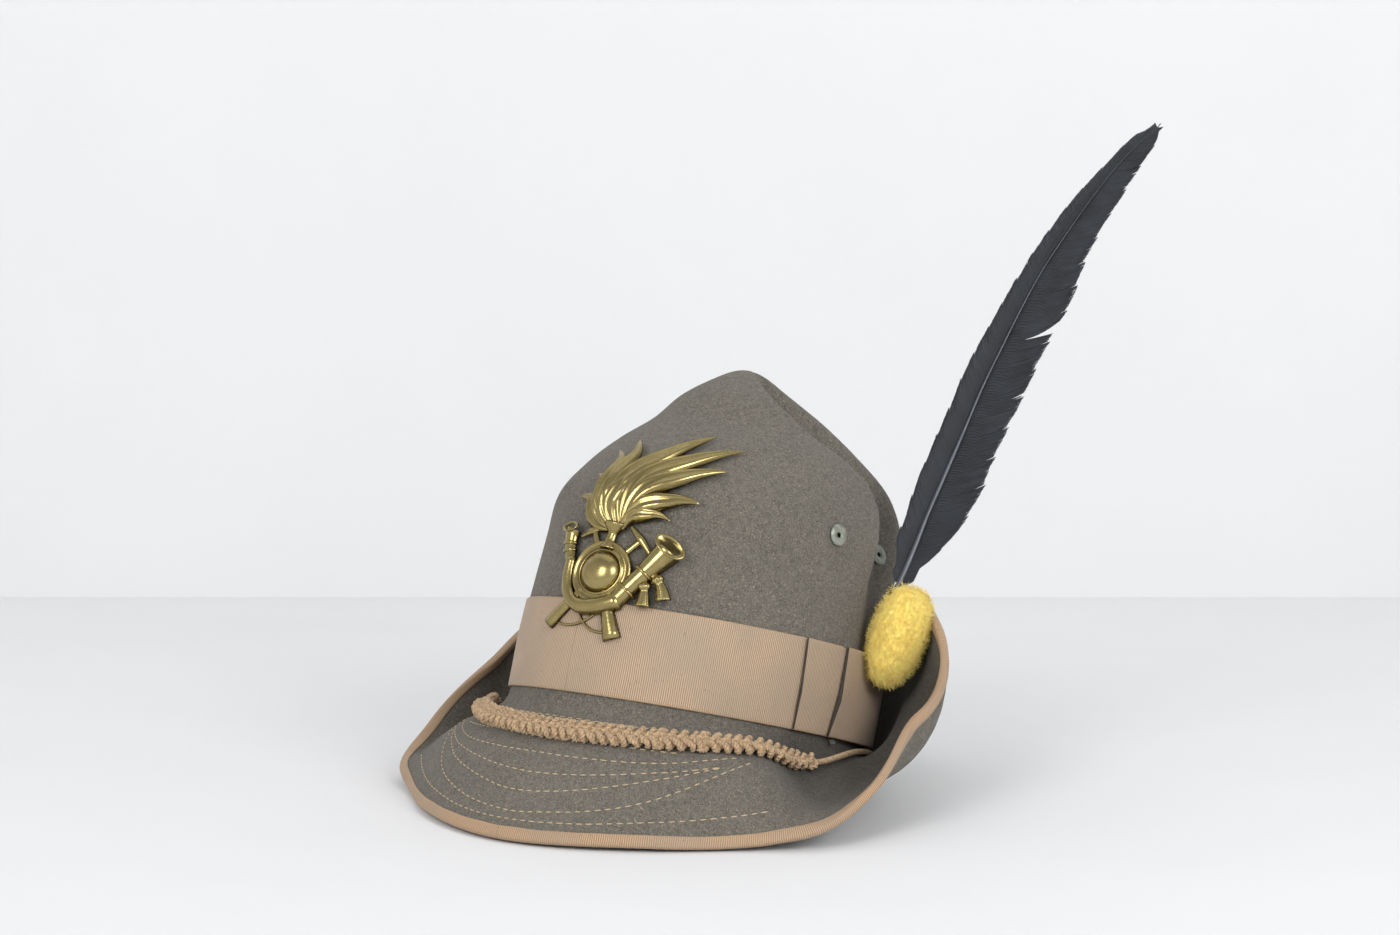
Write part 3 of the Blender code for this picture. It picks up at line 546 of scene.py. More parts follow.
def tube_grid(points, radii, sides):
    """Rings round a line of points."""
    side, other = frames_along(points)
    turns = np.arange(sides) * 2 * math.pi / sides
    radii = np.broadcast_to(np.asarray(radii, float), (len(points),))
    ring = side[:, None] * np.cos(turns)[None, :, None] + other[:, None] * np.sin(turns)[None, :, None]
    return points[:, None] + ring * radii[:, None, None]


def add_tube(shape, points, radii, sides, tone=0.5):
    way = travel(points)
    around = 2 * math.pi * float(np.mean(radii))
    us = np.append(way, way[-1])
    shape.lattice(tube_grid(points, radii, sides), us, np.linspace(0.0, around, sides + 1), tone=tone)


def add_rope(shape, points, radius, plies, pitch, sides=6, phase=0.0, per_turn=9, tone=0.5):
    """Twisted plies that wind round a line of points."""
    length = travel(points)[-1]
    count = max(int(length / pitch * per_turn), 8)
    line = resample(points, count)
    side, other = frames_along(line)
    way = travel(line)
    off = radius * (0.50 if plies == 2 else 0.54)
    thick = radius * (0.56 if plies == 2 else 0.50)
    for ply in range(plies):
        turn = 2 * math.pi * (way / pitch + ply / plies) + phase
        path = line + (side * np.cos(turn)[:, None] + other * np.sin(turn)[:, None]) * off
        ends = np.minimum(np.arange(count), np.arange(count)[::-1]) / 2.0
        radii = thick * np.minimum(0.55 + 0.45 * ends, 1.0)
        add_tube(shape, path, radii, sides, tone=tone + 0.22 * (ply - (plies - 1) / 2))


def revolved(middle, axis, profile, sides):
    """Rings of a profile turned round an axis, for a lattice that closes on itself."""
    axis = Vector(axis)
    across = axis.orthogonal().normalized()
    other = axis.cross(across)
    grid = np.zeros((sides, len(profile), 3))
    for k in range(sides):
        turn = 2 * math.pi * k / sides
        out = across * math.cos(turn) + other * math.sin(turn)
        for i, (radius, height) in enumerate(profile):
            grid[k, i] = Vector(middle) + out * radius + axis * height
    return grid


# Node trees


def put(tree, kind, sockets=None, **settings):
    """Adds a node. Sockets take a value, or another node's output to read from."""
    node = tree.nodes.new(kind)
    for name, value in settings.items():
        setattr(node, name, value)
    for name, value in (sockets or {}).items():
        socket = node.inputs[name]
        if isinstance(value, bpy.types.NodeSocket):
            tree.links.new(value, socket)
        else:
            socket.default_value = value
    return node


def maths(tree, operation, first, second=0.0, third=0.0):
    node = put(tree, "ShaderNodeMath", {0: first, 1: second, 2: third}, operation=operation)
    return node.outputs[0]


def times(tree, first, second):
    return maths(tree, "MULTIPLY", first, second)


def plus(tree, first, second):
    return maths(tree, "ADD", first, second)


def minus(tree, first, second):
    return maths(tree, "SUBTRACT", first, second)


def waved(tree, value):
    """A wave between 0 and 1 of a value in radians."""
    return plus(tree, times(tree, maths(tree, "SINE", value), 0.5), 0.5)


def toned(tree):
    """The tone that each point of a piece carries."""
    return put(tree, "ShaderNodeAttribute", attribute_name="tone").outputs["Fac"]


def ranged(tree, value, low, high, to_low=0.0, to_high=1.0):
    """A value moved from one range to another, and held inside it."""
    sockets = {0: value, 1: low, 2: high, 3: to_low, 4: to_high}
    return put(tree, "ShaderNodeMapRange", sockets).outputs[0]


def blended(tree, factor, first, second):
    """Two colours mixed."""
    sockets = {0: factor, 6: first, 7: second}
    return put(tree, "ShaderNodeMix", sockets, data_type="RGBA").outputs[2]


def noisy(tree, vector, scale, detail=2.0, distortion=0.0):
    sockets = {"Vector": vector, "Scale": scale, "Detail": detail, "Distortion": distortion}
    return put(tree, "ShaderNodeTexNoise", sockets).outputs[0]


def shader_group(name, inputs, outputs):
    """An empty node group with these sockets, and its two ends."""
    tree = bpy.data.node_groups.new(name, "ShaderNodeTree")
    for label, kind, value in inputs:
        socket = tree.interface.new_socket(name=label, in_out="INPUT", socket_type=kind)
        if value is not None:
            socket.default_value = value
    for label, kind in outputs:
        tree.interface.new_socket(name=label, in_out="OUTPUT", socket_type=kind)
    return tree, put(tree, "NodeGroupInput").outputs, put(tree, "NodeGroupOutput").inputs


def wear_group():
    """Low, wide soiling and fading for most finishes, and the patches of the feather's painted sheen."""
    found = bpy.data.node_groups.get("Handling wear")
    if found:
        return found
    inputs = (("Vector", "NodeSocketVector", None), ("Patch size", "NodeSocketFloat", 0.03))
    outputs = (("Patches", "NodeSocketFloat"), ("Specks", "NodeSocketFloat"))
    tree, given, out = shader_group("Handling wear", inputs, outputs)
    scale = maths(tree, "DIVIDE", 1.0, given["Patch size"])
    broad = noisy(tree, given["Vector"], scale, 3.0, 0.4)
    fine = noisy(tree, given["Vector"], times(tree, scale, 14.0), 2.0)
    tree.links.new(ranged(tree, broad, 0.35, 0.68), out["Patches"])
    tree.links.new(ranged(tree, fine, 0.66, 0.74), out["Specks"])
    return tree


def fibre_group():
    """Matted fibres: fine hairs that run every way, for felt and wool."""
    found = bpy.data.node_groups.get("Matted fibres")
    if found:
        return found
    inputs = (("Vector", "NodeSocketVector", None), ("Hair size", "NodeSocketFloat", 0.001))
    outputs = (("Hairs", "NodeSocketFloat"), ("Mottle", "NodeSocketFloat"), ("Height", "NodeSocketFloat"))
    tree, given, out = shader_group("Matted fibres", inputs, outputs)
    scale = maths(tree, "DIVIDE", 1.0, given["Hair size"])
    hairs = []
    for number, squeeze in enumerate(((1.0, 0.22, 1.0), (0.25, 1.0, 0.8), (0.7, 0.6, 0.2))):
        mapped = put(tree, "ShaderNodeMapping", {"Vector": given["Vector"], "Scale": squeeze})
        mapped.inputs["Rotation"].default_value = (0.5 * number, 0.7, 1.1 * number)
        hairs.append(noisy(tree, mapped.outputs[0], scale, 2.0, 1.6))
    apart = [maths(tree, "ABSOLUTE", minus(tree, hair, 0.5)) for hair in hairs]
    lines = [ranged(tree, gap, 0.0, 0.035, 1.0, 0.0) for gap in apart]
    strands = maths(tree, "MAXIMUM", maths(tree, "MAXIMUM", lines[0], lines[1]), lines[2])
    mottle = noisy(tree, given["Vector"], times(tree, scale, 0.45), 4.0, 0.6)
    tree.links.new(strands, out["Hairs"])
    tree.links.new(ranged(tree, mottle, 0.32, 0.68), out["Mottle"])
    height = plus(tree, times(tree, strands, 0.4), times(tree, mottle, 0.6))
    tree.links.new(height, out["Height"])
    return tree


def rib_group():
    """Ribs that run across a grosgrain ribbon, woven of fine threads, from its surface map."""
    found = bpy.data.node_groups.get("Grosgrain ribs")
    if found:
        return found
    inputs = (("Map", "NodeSocketVector", None), ("Rib pitch", "NodeSocketFloat", 0.00085))
    inputs = (*inputs, ("Width", "NodeSocketFloat", BAND_HEIGHT))
    outputs = tuple((label, "NodeSocketFloat") for label in ("Rib", "Thread", "Selvage", "Height"))
    tree, given, out = shader_group("Grosgrain ribs", inputs, outputs)
    parts = put(tree, "ShaderNodeSeparateXYZ", {0: given["Map"]}).outputs
    drift = noisy(tree, given["Map"], 60.0, 2.0)
    along = plus(tree, parts[0], times(tree, drift, 0.0012))
    turns = maths(tree, "DIVIDE", along, given["Rib pitch"])
    rib = waved(tree, times(tree, turns, 2 * math.pi))
    count = maths(tree, "FLOOR", turns)
    shift = times(tree, maths(tree, "MODULO", count, 2.0), math.pi)
    across = times(tree, parts[1], 2 * math.pi / 0.0006)
    thread = waved(tree, plus(tree, across, shift))
    tree.links.new(rib, out["Rib"])
    tree.links.new(thread, out["Thread"])
    far = minus(tree, given["Width"], parts[1])
    near = maths(tree, "MINIMUM", maths(tree, "ABSOLUTE", parts[1]), maths(tree, "ABSOLUTE", far))
    tree.links.new(ranged(tree, near, 0.0011, 0.0007), out["Selvage"])
    height = plus(tree, times(tree, rib, 0.8), times(tree, thread, 0.2))
    tree.links.new(height, out["Height"])
    return tree


def new_look(name, roughness, metallic=0.0, sheen=0.0, specular=0.5):
    """A material with its Principled shader's plain values set on the sockets."""
    look = bpy.data.materials.new(name)
    look.use_nodes = True
    tree = look.node_tree
    shader = tree.nodes["Principled BSDF"]
    shader.inputs["Roughness"].default_value = roughness
    shader.inputs["Metallic"].default_value = metallic
    shader.inputs["Specular IOR Level"].default_value = specular
    if sheen:
        shader.inputs["Sheen Weight"].default_value = sheen
        shader.inputs["Sheen Roughness"].default_value = 0.45
    return look, tree, shader


def bumped(tree, shader, height, depth, strength=1.0):
    """Raises the surface by a height, whose depth is in metres."""
    sockets = {"Height": height, "Distance": depth, "Strength": strength}
    node = put(tree, "ShaderNodeBump", sockets)
    tree.links.new(node.outputs[0], shader.inputs["Normal"])
    return node


def group_node(tree, group, sockets):
    return put(tree, "ShaderNodeGroup", sockets, node_tree=group).outputs


def wear_of(tree, place, size):
    """Soiled patches of this size, and specks."""
    return group_node(tree, wear_group(), {"Vector": place, "Patch size": size})


def fibres_of(tree, place, size):
    """Matted hairs of this size."""
    return group_node(tree, fibre_group(), {"Vector": place, "Hair size": size})


def tinted(colour, by):
    """A colour made lighter or darker."""
    return (*(min(c * by, 1.0) for c in tuple(colour)[:3]), 1.0)


def felt_look(looks):
    look, tree, shader = new_look("grey_green_felt", 0.93, sheen=0.10, specular=0.2)
    place = put(tree, "ShaderNodeTexCoord").outputs["Object"]
    fibres = fibres_of(tree, place, looks.hair_size)
    wear = wear_of(tree, place, 0.045)
    base = blended(tree, fibres["Mottle"], tinted(looks.felt_colour, 0.70), tinted(looks.felt_colour, 1.20))
    aged = blended(tree, times(tree, wear["Patches"], 0.22), base, tinted(looks.fleck_colour, 0.60))
    strands = blended(tree, times(tree, fibres["Hairs"], 0.34), aged, (*looks.fleck_colour, 1.0))
    grain = noisy(tree, place, 1500.0, 2.0, 0.8)
    dark = times(tree, ranged(tree, grain, 0.56, 0.72), 0.65)
    flecked = blended(tree, dark, strands, tinted(looks.felt_colour, 0.30))
    warm = times(tree, ranged(tree, grain, 0.43, 0.30), 0.60)
    specks = blended(tree, warm, flecked, (0.40, 0.32, 0.25, 1.0))
    # Painted shade: where the tone is low the felt goes nearly black, on the turned-up brim and at the
    # crown's foot beside it
    tone = toned(tree)
    shaded = blended(tree, ranged(tree, tone, 0.0, 1.0, 0.42, 1.0), (0.006, 0.005, 0.004, 1.0), specks)
    tree.links.new(shaded, shader.inputs["Base Color"])
    bumped(tree, shader, fibres["Height"], 0.00035, 0.7)
    return look


def ribbon_look(looks, name, colour, width):
    look, tree, shader = new_look(name, 0.62, sheen=0.12, specular=0.35)
    coords = put(tree, "ShaderNodeTexCoord").outputs
    tone = toned(tree)
    ribs = group_node(tree, rib_group(), {"Map": coords["UV"], "Rib pitch": looks.rib_pitch, "Width": width})
    wear = wear_of(tree, coords["Object"], 0.022)
    # Painted shade and highlight of the weave's relief: darker between the ribs, lighter on the ribs and on
    # the threads
    rib = blended(tree, ribs["Rib"], tinted(colour, 0.46), tinted(colour, 1.30))
    thread = blended(tree, times(tree, ribs["Thread"], 0.18), rib, tinted(colour, 1.35))
    edged = blended(tree, times(tree, ribs["Selvage"], 0.65), thread, (*looks.edge_colour, 1.0))
    soiled = times(tree, wear["Patches"], 0.42)
    stained = blended(tree, soiled, edged, (*looks.stain_and_shadow_colour, 1.0))
    marked = blended(tree, times(tree, wear["Specks"], 0.45), stained, tinted(looks.stain_and_shadow_colour, 0.5))
    # Painted shadow: low tones turn the ribbon nearly black, along the front edges of the folds
    shaded = blended(tree, ranged(tree, tone, 0.0, 0.45), tinted(looks.stain_and_shadow_colour, 0.12), marked)
    tree.links.new(shaded, shader.inputs["Base Color"])
    bumped(tree, shader, ribs["Height"], 0.00022, 0.8)
    return look


def thread_look(name, colour, dark, hair=0.0007):
    """Twisted thread with painted shade, darker where the tone is low and in the fibres' mottle, and a
    painted highlight along the twist.
    """
    look, tree, shader = new_look(name, 0.78, sheen=0.15, specular=0.3)
    coords = put(tree, "ShaderNodeTexCoord").outputs
    tone = toned(tree)
    parts = put(tree, "ShaderNodeSeparateXYZ", {0: coords["UV"]}).outputs
    slant = plus(tree, times(tree, parts[0], 5200.0), times(tree, parts[1], 9000.0))
    yarn = waved(tree, slant)
    fibres = fibres_of(tree, coords["Object"], hair)
    factor = plus(tree, times(tree, tone, 0.45), times(tree, fibres["Mottle"], 0.55))
    mixed = blended(tree, factor, (*dark, 1.0), (*colour, 1.0))
    # Painted highlight: a lighter stripe that runs along the twist of the yarn
    lit = blended(tree, times(tree, yarn, 0.42), mixed, tinted(colour, 1.55))
    tree.links.new(lit, shader.inputs["Base Color"])
    height = plus(tree, times(tree, yarn, 0.7), times(tree, fibres["Height"], 0.3))
    bumped(tree, shader, height, 0.00015, 0.8)
    return look


def brass_look(looks):
    look, tree, shader = new_look("old_brass", 0.2, metallic=1.0)
    coords = put(tree, "ShaderNodeTexCoord").outputs
    tone = toned(tree)
    wear = wear_of(tree, coords["Object"], 0.006)
    raised = ranged(tree, tone, 0.05, 0.75)
    base = blended(tree, raised, (*looks.patina_colour, 1.0), (*looks.brass_colour, 1.0))
    wear_and_painted_shade = blended(tree, times(tree, wear["Patches"], 0.22), base, tinted(looks.patina_colour, 1.6))
    bright = blended(tree, times(tree, wear["Specks"], 0.4), wear_and_painted_shade, tinted(looks.brass_colour, 1.25))
    tree.links.new(bright, shader.inputs["Base Color"])
    grain = noisy(tree, coords["Object"], 900.0, 3.0)
    dull = ranged(tree, wear["Patches"], 0.0, 1.0, 0.13, 0.26)
    rough = plus(tree, dull, times(tree, grain, 0.08))
    tree.links.new(rough, shader.inputs["Roughness"])
    bumped(tree, shader, grain, 0.00004, 0.5)
    return look


def enamel_look(looks):
    look, tree, shader = new_look("eyelet_enamel", 0.30, metallic=0.2)
    coords = put(tree, "ShaderNodeTexCoord").outputs
    wear = wear_of(tree, coords["Object"], 0.0022)
    base = blended(tree, wear["Patches"], (*looks.enamel_colour, 1.0), tinted(looks.enamel_colour, 1.7))
    chipped = blended(tree, times(tree, wear["Specks"], 0.7), base, (0.42, 0.40, 0.30, 1.0))
    tree.links.new(chipped, shader.inputs["Base Color"])
    grain = noisy(tree, coords["Object"], 2200.0, 2.0)
    tree.links.new(ranged(tree, grain, 0.3, 0.7, 0.22, 0.40), shader.inputs["Roughness"])
    bumped(tree, shader, grain, 0.00003, 0.6)
    return look


def wool_look(looks):
    look, tree, shader = new_look("yellow_wool", 0.9, sheen=0.35, specular=0.2)
    coords = put(tree, "ShaderNodeTexCoord").outputs
    tone = toned(tree)
    wear = wear_of(tree, coords["Object"], 0.010)
    fibres = fibres_of(tree, coords["Object"], 0.0008)
    base = blended(tree, tone, tinted(looks.wool_colour, 0.93), tinted(looks.wool_colour, 1.12))
    deep = blended(tree, times(tree, wear["Patches"], 0.45), base, (*looks.wool_deep_colour, 1.0))
    pale = blended(tree, times(tree, fibres["Hairs"], 0.35), deep, (1.0, 0.90, 0.52, 1.0))
    tree.links.new(pale, shader.inputs["Base Color"])
    bumped(tree, shader, fibres["Height"], 0.0002, 0.6)
    return look


def barb_look(looks):
    look, tree, shader = new_look("black_barbs", 0.48, sheen=0.0, specular=0.5)
    coords = put(tree, "ShaderNodeTexCoord").outputs
    tone = toned(tree)
    parts = put(tree, "ShaderNodeSeparateXYZ", {0: coords["UV"]}).outputs
    comb = waved(tree, times(tree, parts[1], 30000.0))
    wear = wear_of(tree, coords["Object"], 0.012)
    base = blended(tree, tone, tinted(looks.barb_colour, 0.65), tinted(looks.barb_colour, 1.25))
    # Painted sheen: lighter bluish patches on the barbs
    sheen = blended(tree, times(tree, wear["Patches"], 0.5), base, (*looks.barb_sheen_colour, 1.0))
    tree.links.new(sheen, shader.inputs["Base Color"])
    tree.links.new(ranged(tree, wear["Patches"], 0.0, 1.0, 0.40, 0.58), shader.inputs["Roughness"])
    bumped(tree, shader, comb, 0.00006, 0.5)
    return look


def shaft_look(looks):
    look, tree, shader = new_look("dark_quill", 0.30, specular=0.6)
    coords = put(tree, "ShaderNodeTexCoord").outputs
    sockets = {"Vector": coords["UV"], "Scale": (40.0, 900.0, 1.0)}
    streaks = noisy(tree, put(tree, "ShaderNodeMapping", sockets).outputs[0], 1.0, 3.0)
    wear = wear_of(tree, coords["Object"], 0.02)
    pale = ranged(tree, streaks, 0.35, 0.65)
    base = blended(tree, pale, tinted(looks.quill_colour, 0.7), tinted(looks.quill_colour, 1.5))
    tone = toned(tree)
    aged = blended(tree, times(tree, wear["Patches"], 0.4), base, tinted(looks.quill_colour, 2.0))
    faded = blended(tree, tone, (*looks.barb_colour, 1.0), aged)
    tree.links.new(faded, shader.inputs["Base Color"])
    bumped(tree, shader, streaks, 0.00005, 0.5)
    return look


# Geometry node trees


def geometry_tree(name, inputs):
    """An empty Geometry Nodes tree that takes and gives a shape, and has these named inputs."""
    tree = bpy.data.node_groups.new(name, "GeometryNodeTree")
    tree.interface.new_socket(name="Geometry", in_out="INPUT", socket_type="NodeSocketGeometry")
    tree.interface.new_socket(name="Geometry", in_out="OUTPUT", socket_type="NodeSocketGeometry")
    for label, kind, value in inputs:
        socket = tree.interface.new_socket(name=label, in_out="INPUT", socket_type=kind)
        if value is not None:
            socket.default_value = value
    return tree, put(tree, "NodeGroupInput").outputs, put(tree, "NodeGroupOutput").inputs


def realized(tree, placed, given, out):
    """Ends a tree: real copies, shaded smooth, with the finish that was asked for."""
    real = put(tree, "GeometryNodeRealizeInstances", {"Geometry": placed})
    smooth = put(tree, "GeometryNodeSetShadeSmooth", {"Geometry": real.outputs[0]})
    sockets = {"Geometry": smooth.outputs[0], "Material": given["Finish"]}
    dressed = put(tree, "GeometryNodeSetMaterial", sockets)
    tree.links.new(dressed.outputs[0], out[0])
    return tree


def varied(tree, low, high, seed):
    """A number between low and high that differs from copy to copy."""
    sockets = {2: low, 3: high, "Seed": seed}
    return put(tree, "FunctionNodeRandomValue", sockets, data_type="FLOAT").outputs[1]


def planted(tree, points, thing, turned, size):
    """Stands a copy of a thing at each point."""
    sockets = {"Points": points, "Instance": thing, "Rotation": turned, "Scale": size}
    return put(tree, "GeometryNodeInstanceOnPoints", sockets).outputs[0]


def stitch_tree():
    """Stands one rounded stitch at each point, along the row and square on the felt."""
    inputs = (
        ("Length", "NodeSocketFloat", 0.0031),
        ("Width", "NodeSocketFloat", 0.0006),
        ("Finish", "NodeSocketMaterial", None),
    )
    tree, given, out = geometry_tree("Row of stitches", inputs)
    bead = put(tree, "GeometryNodeMeshUVSphere", {"Segments": 8, "Rings": 6, "Radius": 0.5})
    along = put(tree, "GeometryNodeInputNamedAttribute", {"Name": "along"}, data_type="FLOAT_VECTOR")
    upward = put(tree, "GeometryNodeInputNamedAttribute", {"Name": "upward"}, data_type="FLOAT_VECTOR")
    turned = put(tree, "FunctionNodeAlignRotationToVector", {"Vector": along.outputs[0]}, axis="X")
    stood = put(
        tree,
        "FunctionNodeAlignRotationToVector",
        {"Rotation": turned.outputs[0], "Vector": upward.outputs[0]},
        axis="Z",
        pivot_axis="X",
    )
    length = times(tree, given["Length"], varied(tree, 0.86, 1.10, 4))
    sizes = {0: length, 1: given["Width"], 2: times(tree, given["Width"], 0.8)}
    size = put(tree, "ShaderNodeCombineXYZ", sizes)
    placed = planted(tree, given["Geometry"], bead.outputs[0], stood.outputs[0], size.outputs[0])
    return realized(tree, placed, given, out)


def hair_tree():
    """Scatters short bent hairs over a surface, each with its own lean, length and tone."""
    inputs = (
        ("Count per area", "NodeSocketFloat", 1000.0),
        ("Length", "NodeSocketFloat", 0.003),
        ("Thickness", "NodeSocketFloat", 0.0001),
        ("Lean", "NodeSocketFloat", 0.9),
        ("Bend", "NodeSocketFloat", 0.4),
        ("Seed", "NodeSocketInt", 7),
        ("Finish", "NodeSocketMaterial", None),
    )
    tree, given, out = geometry_tree("Scattered hairs", inputs)
    spots = put(
        tree,
        "GeometryNodeDistributePointsOnFaces",
        {"Mesh": given["Geometry"], "Density": given["Count per area"], "Seed": given["Seed"]},
    )
    length, bend = given["Length"], times(tree, given["Length"], given["Bend"])
    middle = put(tree, "ShaderNodeCombineXYZ", {0: 0.0, 2: times(tree, length, 0.6)})
    end = put(tree, "ShaderNodeCombineXYZ", {0: bend, 2: length})
    hair = put(
        tree,
        "GeometryNodeCurveQuadraticBezier",
        {"Resolution": 3, "Start": (0.0, 0.0, 0.0), "Middle": middle.outputs[0], "End": end.outputs[0]},
    )
    share = put(tree, "GeometryNodeSplineParameter").outputs["Factor"]
    taper = minus(tree, 1.0, times(tree, share, 0.7))
    thinned = put(tree, "GeometryNodeSetCurveRadius", {"Curve": hair.outputs[0], "Radius": taper})
    ring = put(tree, "GeometryNodeCurvePrimitiveCircle", {"Resolution": 3, "Radius": given["Thickness"]})
    tube = put(
        tree,
        "GeometryNodeCurveToMesh",
        {"Curve": thinned.outputs[0], "Profile Curve": ring.outputs[0], "Fill Caps": True},
    )
    sockets = {0: (-1.0, -1.0, -3.14), 1: (1.0, 1.0, 3.14), "Seed": given["Seed"]}
    lean = put(tree, "FunctionNodeRandomValue", sockets, data_type="FLOAT_VECTOR")
    strength = put(tree, "ShaderNodeCombineXYZ", {0: given["Lean"], 1: given["Lean"], 2: 1.0})
    tilt = put(
        tree,
        "ShaderNodeVectorMath",
        {0: lean.outputs[0], 1: strength.outputs[0]},
        operation="MULTIPLY",
    )
    spin = put(tree, "FunctionNodeEulerToRotation", {0: tilt.outputs[0]})
    leaned = put(
        tree,
        "FunctionNodeRotateRotation",
        {"Rotation": spots.outputs["Rotation"], "Rotate By": spin.outputs[0]},
        rotation_space="LOCAL",
    )
    size = varied(tree, 0.55, 1.25, 11)
    placed = planted(tree, spots.outputs["Points"], tube.outputs[0], leaned.outputs[0], size)
    kept = put(
        tree,
        "GeometryNodeStoreNamedAttribute",
        {"Geometry": placed, "Name": "tone", "Value": varied(tree, 0.0, 1.0, 5)},
        data_type="FLOAT",
        domain="INSTANCE",
    )
    return realized(tree, kept.outputs[0], given, out)


def grown(source, tree, name, settings, look):
    """Runs a tree on a shape and keeps the result as a plain mesh. The source is removed."""
    modifier = source.modifiers.new(tree.name, "NODES")
    modifier.node_group = tree
    sockets = {s.name: s.identifier for s in tree.interface.items_tree if s.in_out == "INPUT"}
    for label, value in {**settings, "Finish": look}.items():
        modifier[sockets[label]] = value
    bpy.context.view_layer.update()
    shown = source.evaluated_get(bpy.context.evaluated_depsgraph_get())
    mesh = bpy.data.meshes.new_from_object(shown)
    if not len(mesh.polygons):
        raise RuntimeError(f"{name} came out empty")
    mesh.name = name
    made = bpy.data.objects.new(name, mesh)
    bpy.context.scene.collection.objects.link(made)
    bpy.data.objects.remove(source)
    return made


def plain_object(name, points, faces):
    """A bare mesh in the hat's frame, set down on the table, for a tree to work on."""
    turn = np.array(HAT)
    points = np.asarray(points).reshape(-1, 3) @ turn[:3, :3].T + turn[:3, 3]
    mesh = bpy.data.meshes.new(name)
    mesh.from_pydata(points.tolist(), [], faces)
    made = bpy.data.objects.new(name, mesh)
    bpy.context.scene.collection.objects.link(made)
    return made


# Pieces


def binding_root(azimuth):
    return 1.0 - BINDING_WIDTH / brim_width(azimuth)


def vent_frames():
    """Each vent: the wearer's side, its place on that side, its middle and the way out of the felt."""
    rise = rise_at(VENT_HEIGHT)
    for side, wing in ((1, "left"), (-1, "right")):
        for where, azimuth in VENT_AZIMUTHS.items():
            yield wing, where, CROWN.at(side * azimuth, rise), CROWN.normal(side * azimuth, rise)


def make_felt(looks):
    """The crown and brim as one felt, open at the head and pierced at the vents."""
    look = felt_look(looks)
    shape = Shape()
    rises = RISES[1:-1][::-1]
    shares = np.linspace(0.0, 1.0, BRIM_ROWS + 1)
    rings = {}
    for face, lift in (("outer", 0.0), ("inner", -FELT)):
        crown = [CROWN.at(TURNS, rise, lift) for rise in rises]
        rings[face] = crown + [BRIM.at(TURNS, share, lift) for share in shares]
    edge = (rings["outer"][-1] + rings["inner"][-1]) / 2
    out = unit(rings["outer"][-1] - rings["outer"][-3])
    lip = [edge + out * FELT * 0.16]
    grid = np.stack(rings["outer"] + lip + rings["inner"][::-1])
    # Painted shade: the felt is darker on the turned-up brim and at the crown's foot beside it, where the
    # brim's gutter lies in shade
    around = np.abs((TURNS + 180.0) % 360.0 - 180.0)
    turned = np.interp(around, (52.0, 74.0, 110.0, 180.0), (0.0, 1.0, 1.0, 0.75))
    fall = np.interp(shares, (0.0, 0.12, 0.75, 1.0), (0.75, 1.0, 0.9, 0.2))
    wear_and_painted_shade = np.ones(grid.shape[:2])
    wear_and_painted_shade[len(rises) : len(rises) + len(shares)] -= turned[None, :] * fall[:, None]
    foot = slice(len(rises) - PAINTED_SHADE_ROWS, len(rises))
    wear_and_painted_shade[foot] -= turned[None, :] * np.linspace(0.0, 0.7, PAINTED_SHADE_ROWS)[:, None]
    shape.lattice(grid, np.arange(len(grid) + 1) * 0.002, np.arange(AROUND + 1) * 0.002, tone=wear_and_painted_shade)
    body = shape.finish("felt_skin", look, ["felt_body"])
    cuts = Shape()
    for _, _, middle, axis in vent_frames():
        line = np.array([middle - axis * VENT_REACH, middle + axis * VENT_REACH])
        add_tube(cuts, line, VENT_HOLE, 24)
    cutter = cuts.finish("vent_cuts", look)
    modifier = body.modifiers.new("vents", "BOOLEAN")
    modifier.object = cutter
    modifier.operation = "DIFFERENCE"
    modifier.solver = "EXACT"
    bpy.context.view_layer.update()
    shown = body.evaluated_get(bpy.context.evaluated_depsgraph_get())
    mesh = bpy.data.meshes.new_from_object(shown)
    body.modifiers.clear()
    body.data = mesh
    bpy.data.objects.remove(cutter)


def make_nap(looks):
    """Loose hairs and lint that stand off the felt."""
    outer = []
    faces = []
    rows = [*RISES[4:-2:4][::-1], *[-share for share in np.linspace(0.04, 0.9, 12)]]
    for row in rows:
        ring = CROWN.at(TURNS[::4], row) if row > 0 else BRIM.at(TURNS[::4], -row)
        outer.append(ring)
    grid = np.stack(outer)
    sides = grid.shape[1]
    for k in range(len(grid) - 1):
        for i in range(sides):
            j = (i + 1) % sides
            faces.append((k * sides + i, (k + 1) * sides + i, (k + 1) * sides + j, k * sides + j))
    source = plain_object("nap_source", grid, faces)
    look = thread_look("loose_hairs", tuple(looks.fleck_colour), tuple(looks.felt_colour))
    settings = {
        "Count per area": looks.nap_count,
        "Length": looks.nap_length,
        "Thickness": 0.00003,
        "Lean": 1.35,
        "Bend": 0.7,
    }
    return settle(grown(source, hair_tree(), "felt_nap", settings, look))


def ribbon_ring(azimuths, rises, lift):
    """Rounded rings of a ribbon on the crown: its outer face up and its inner face down."""
    last = len(rises) - 1
    rows = [(k, RIBBON - (0.00025 if k in (0, last) else 0.0)) for k in range(last + 1)]
    rows += [(k, 0.0002 if k in (0, last) else 0.0) for k in range(last, -1, -2)]
    return np.stack([CROWN.at(azimuths[:, k], rises[k], lift + up) for k, up in rows], 1)


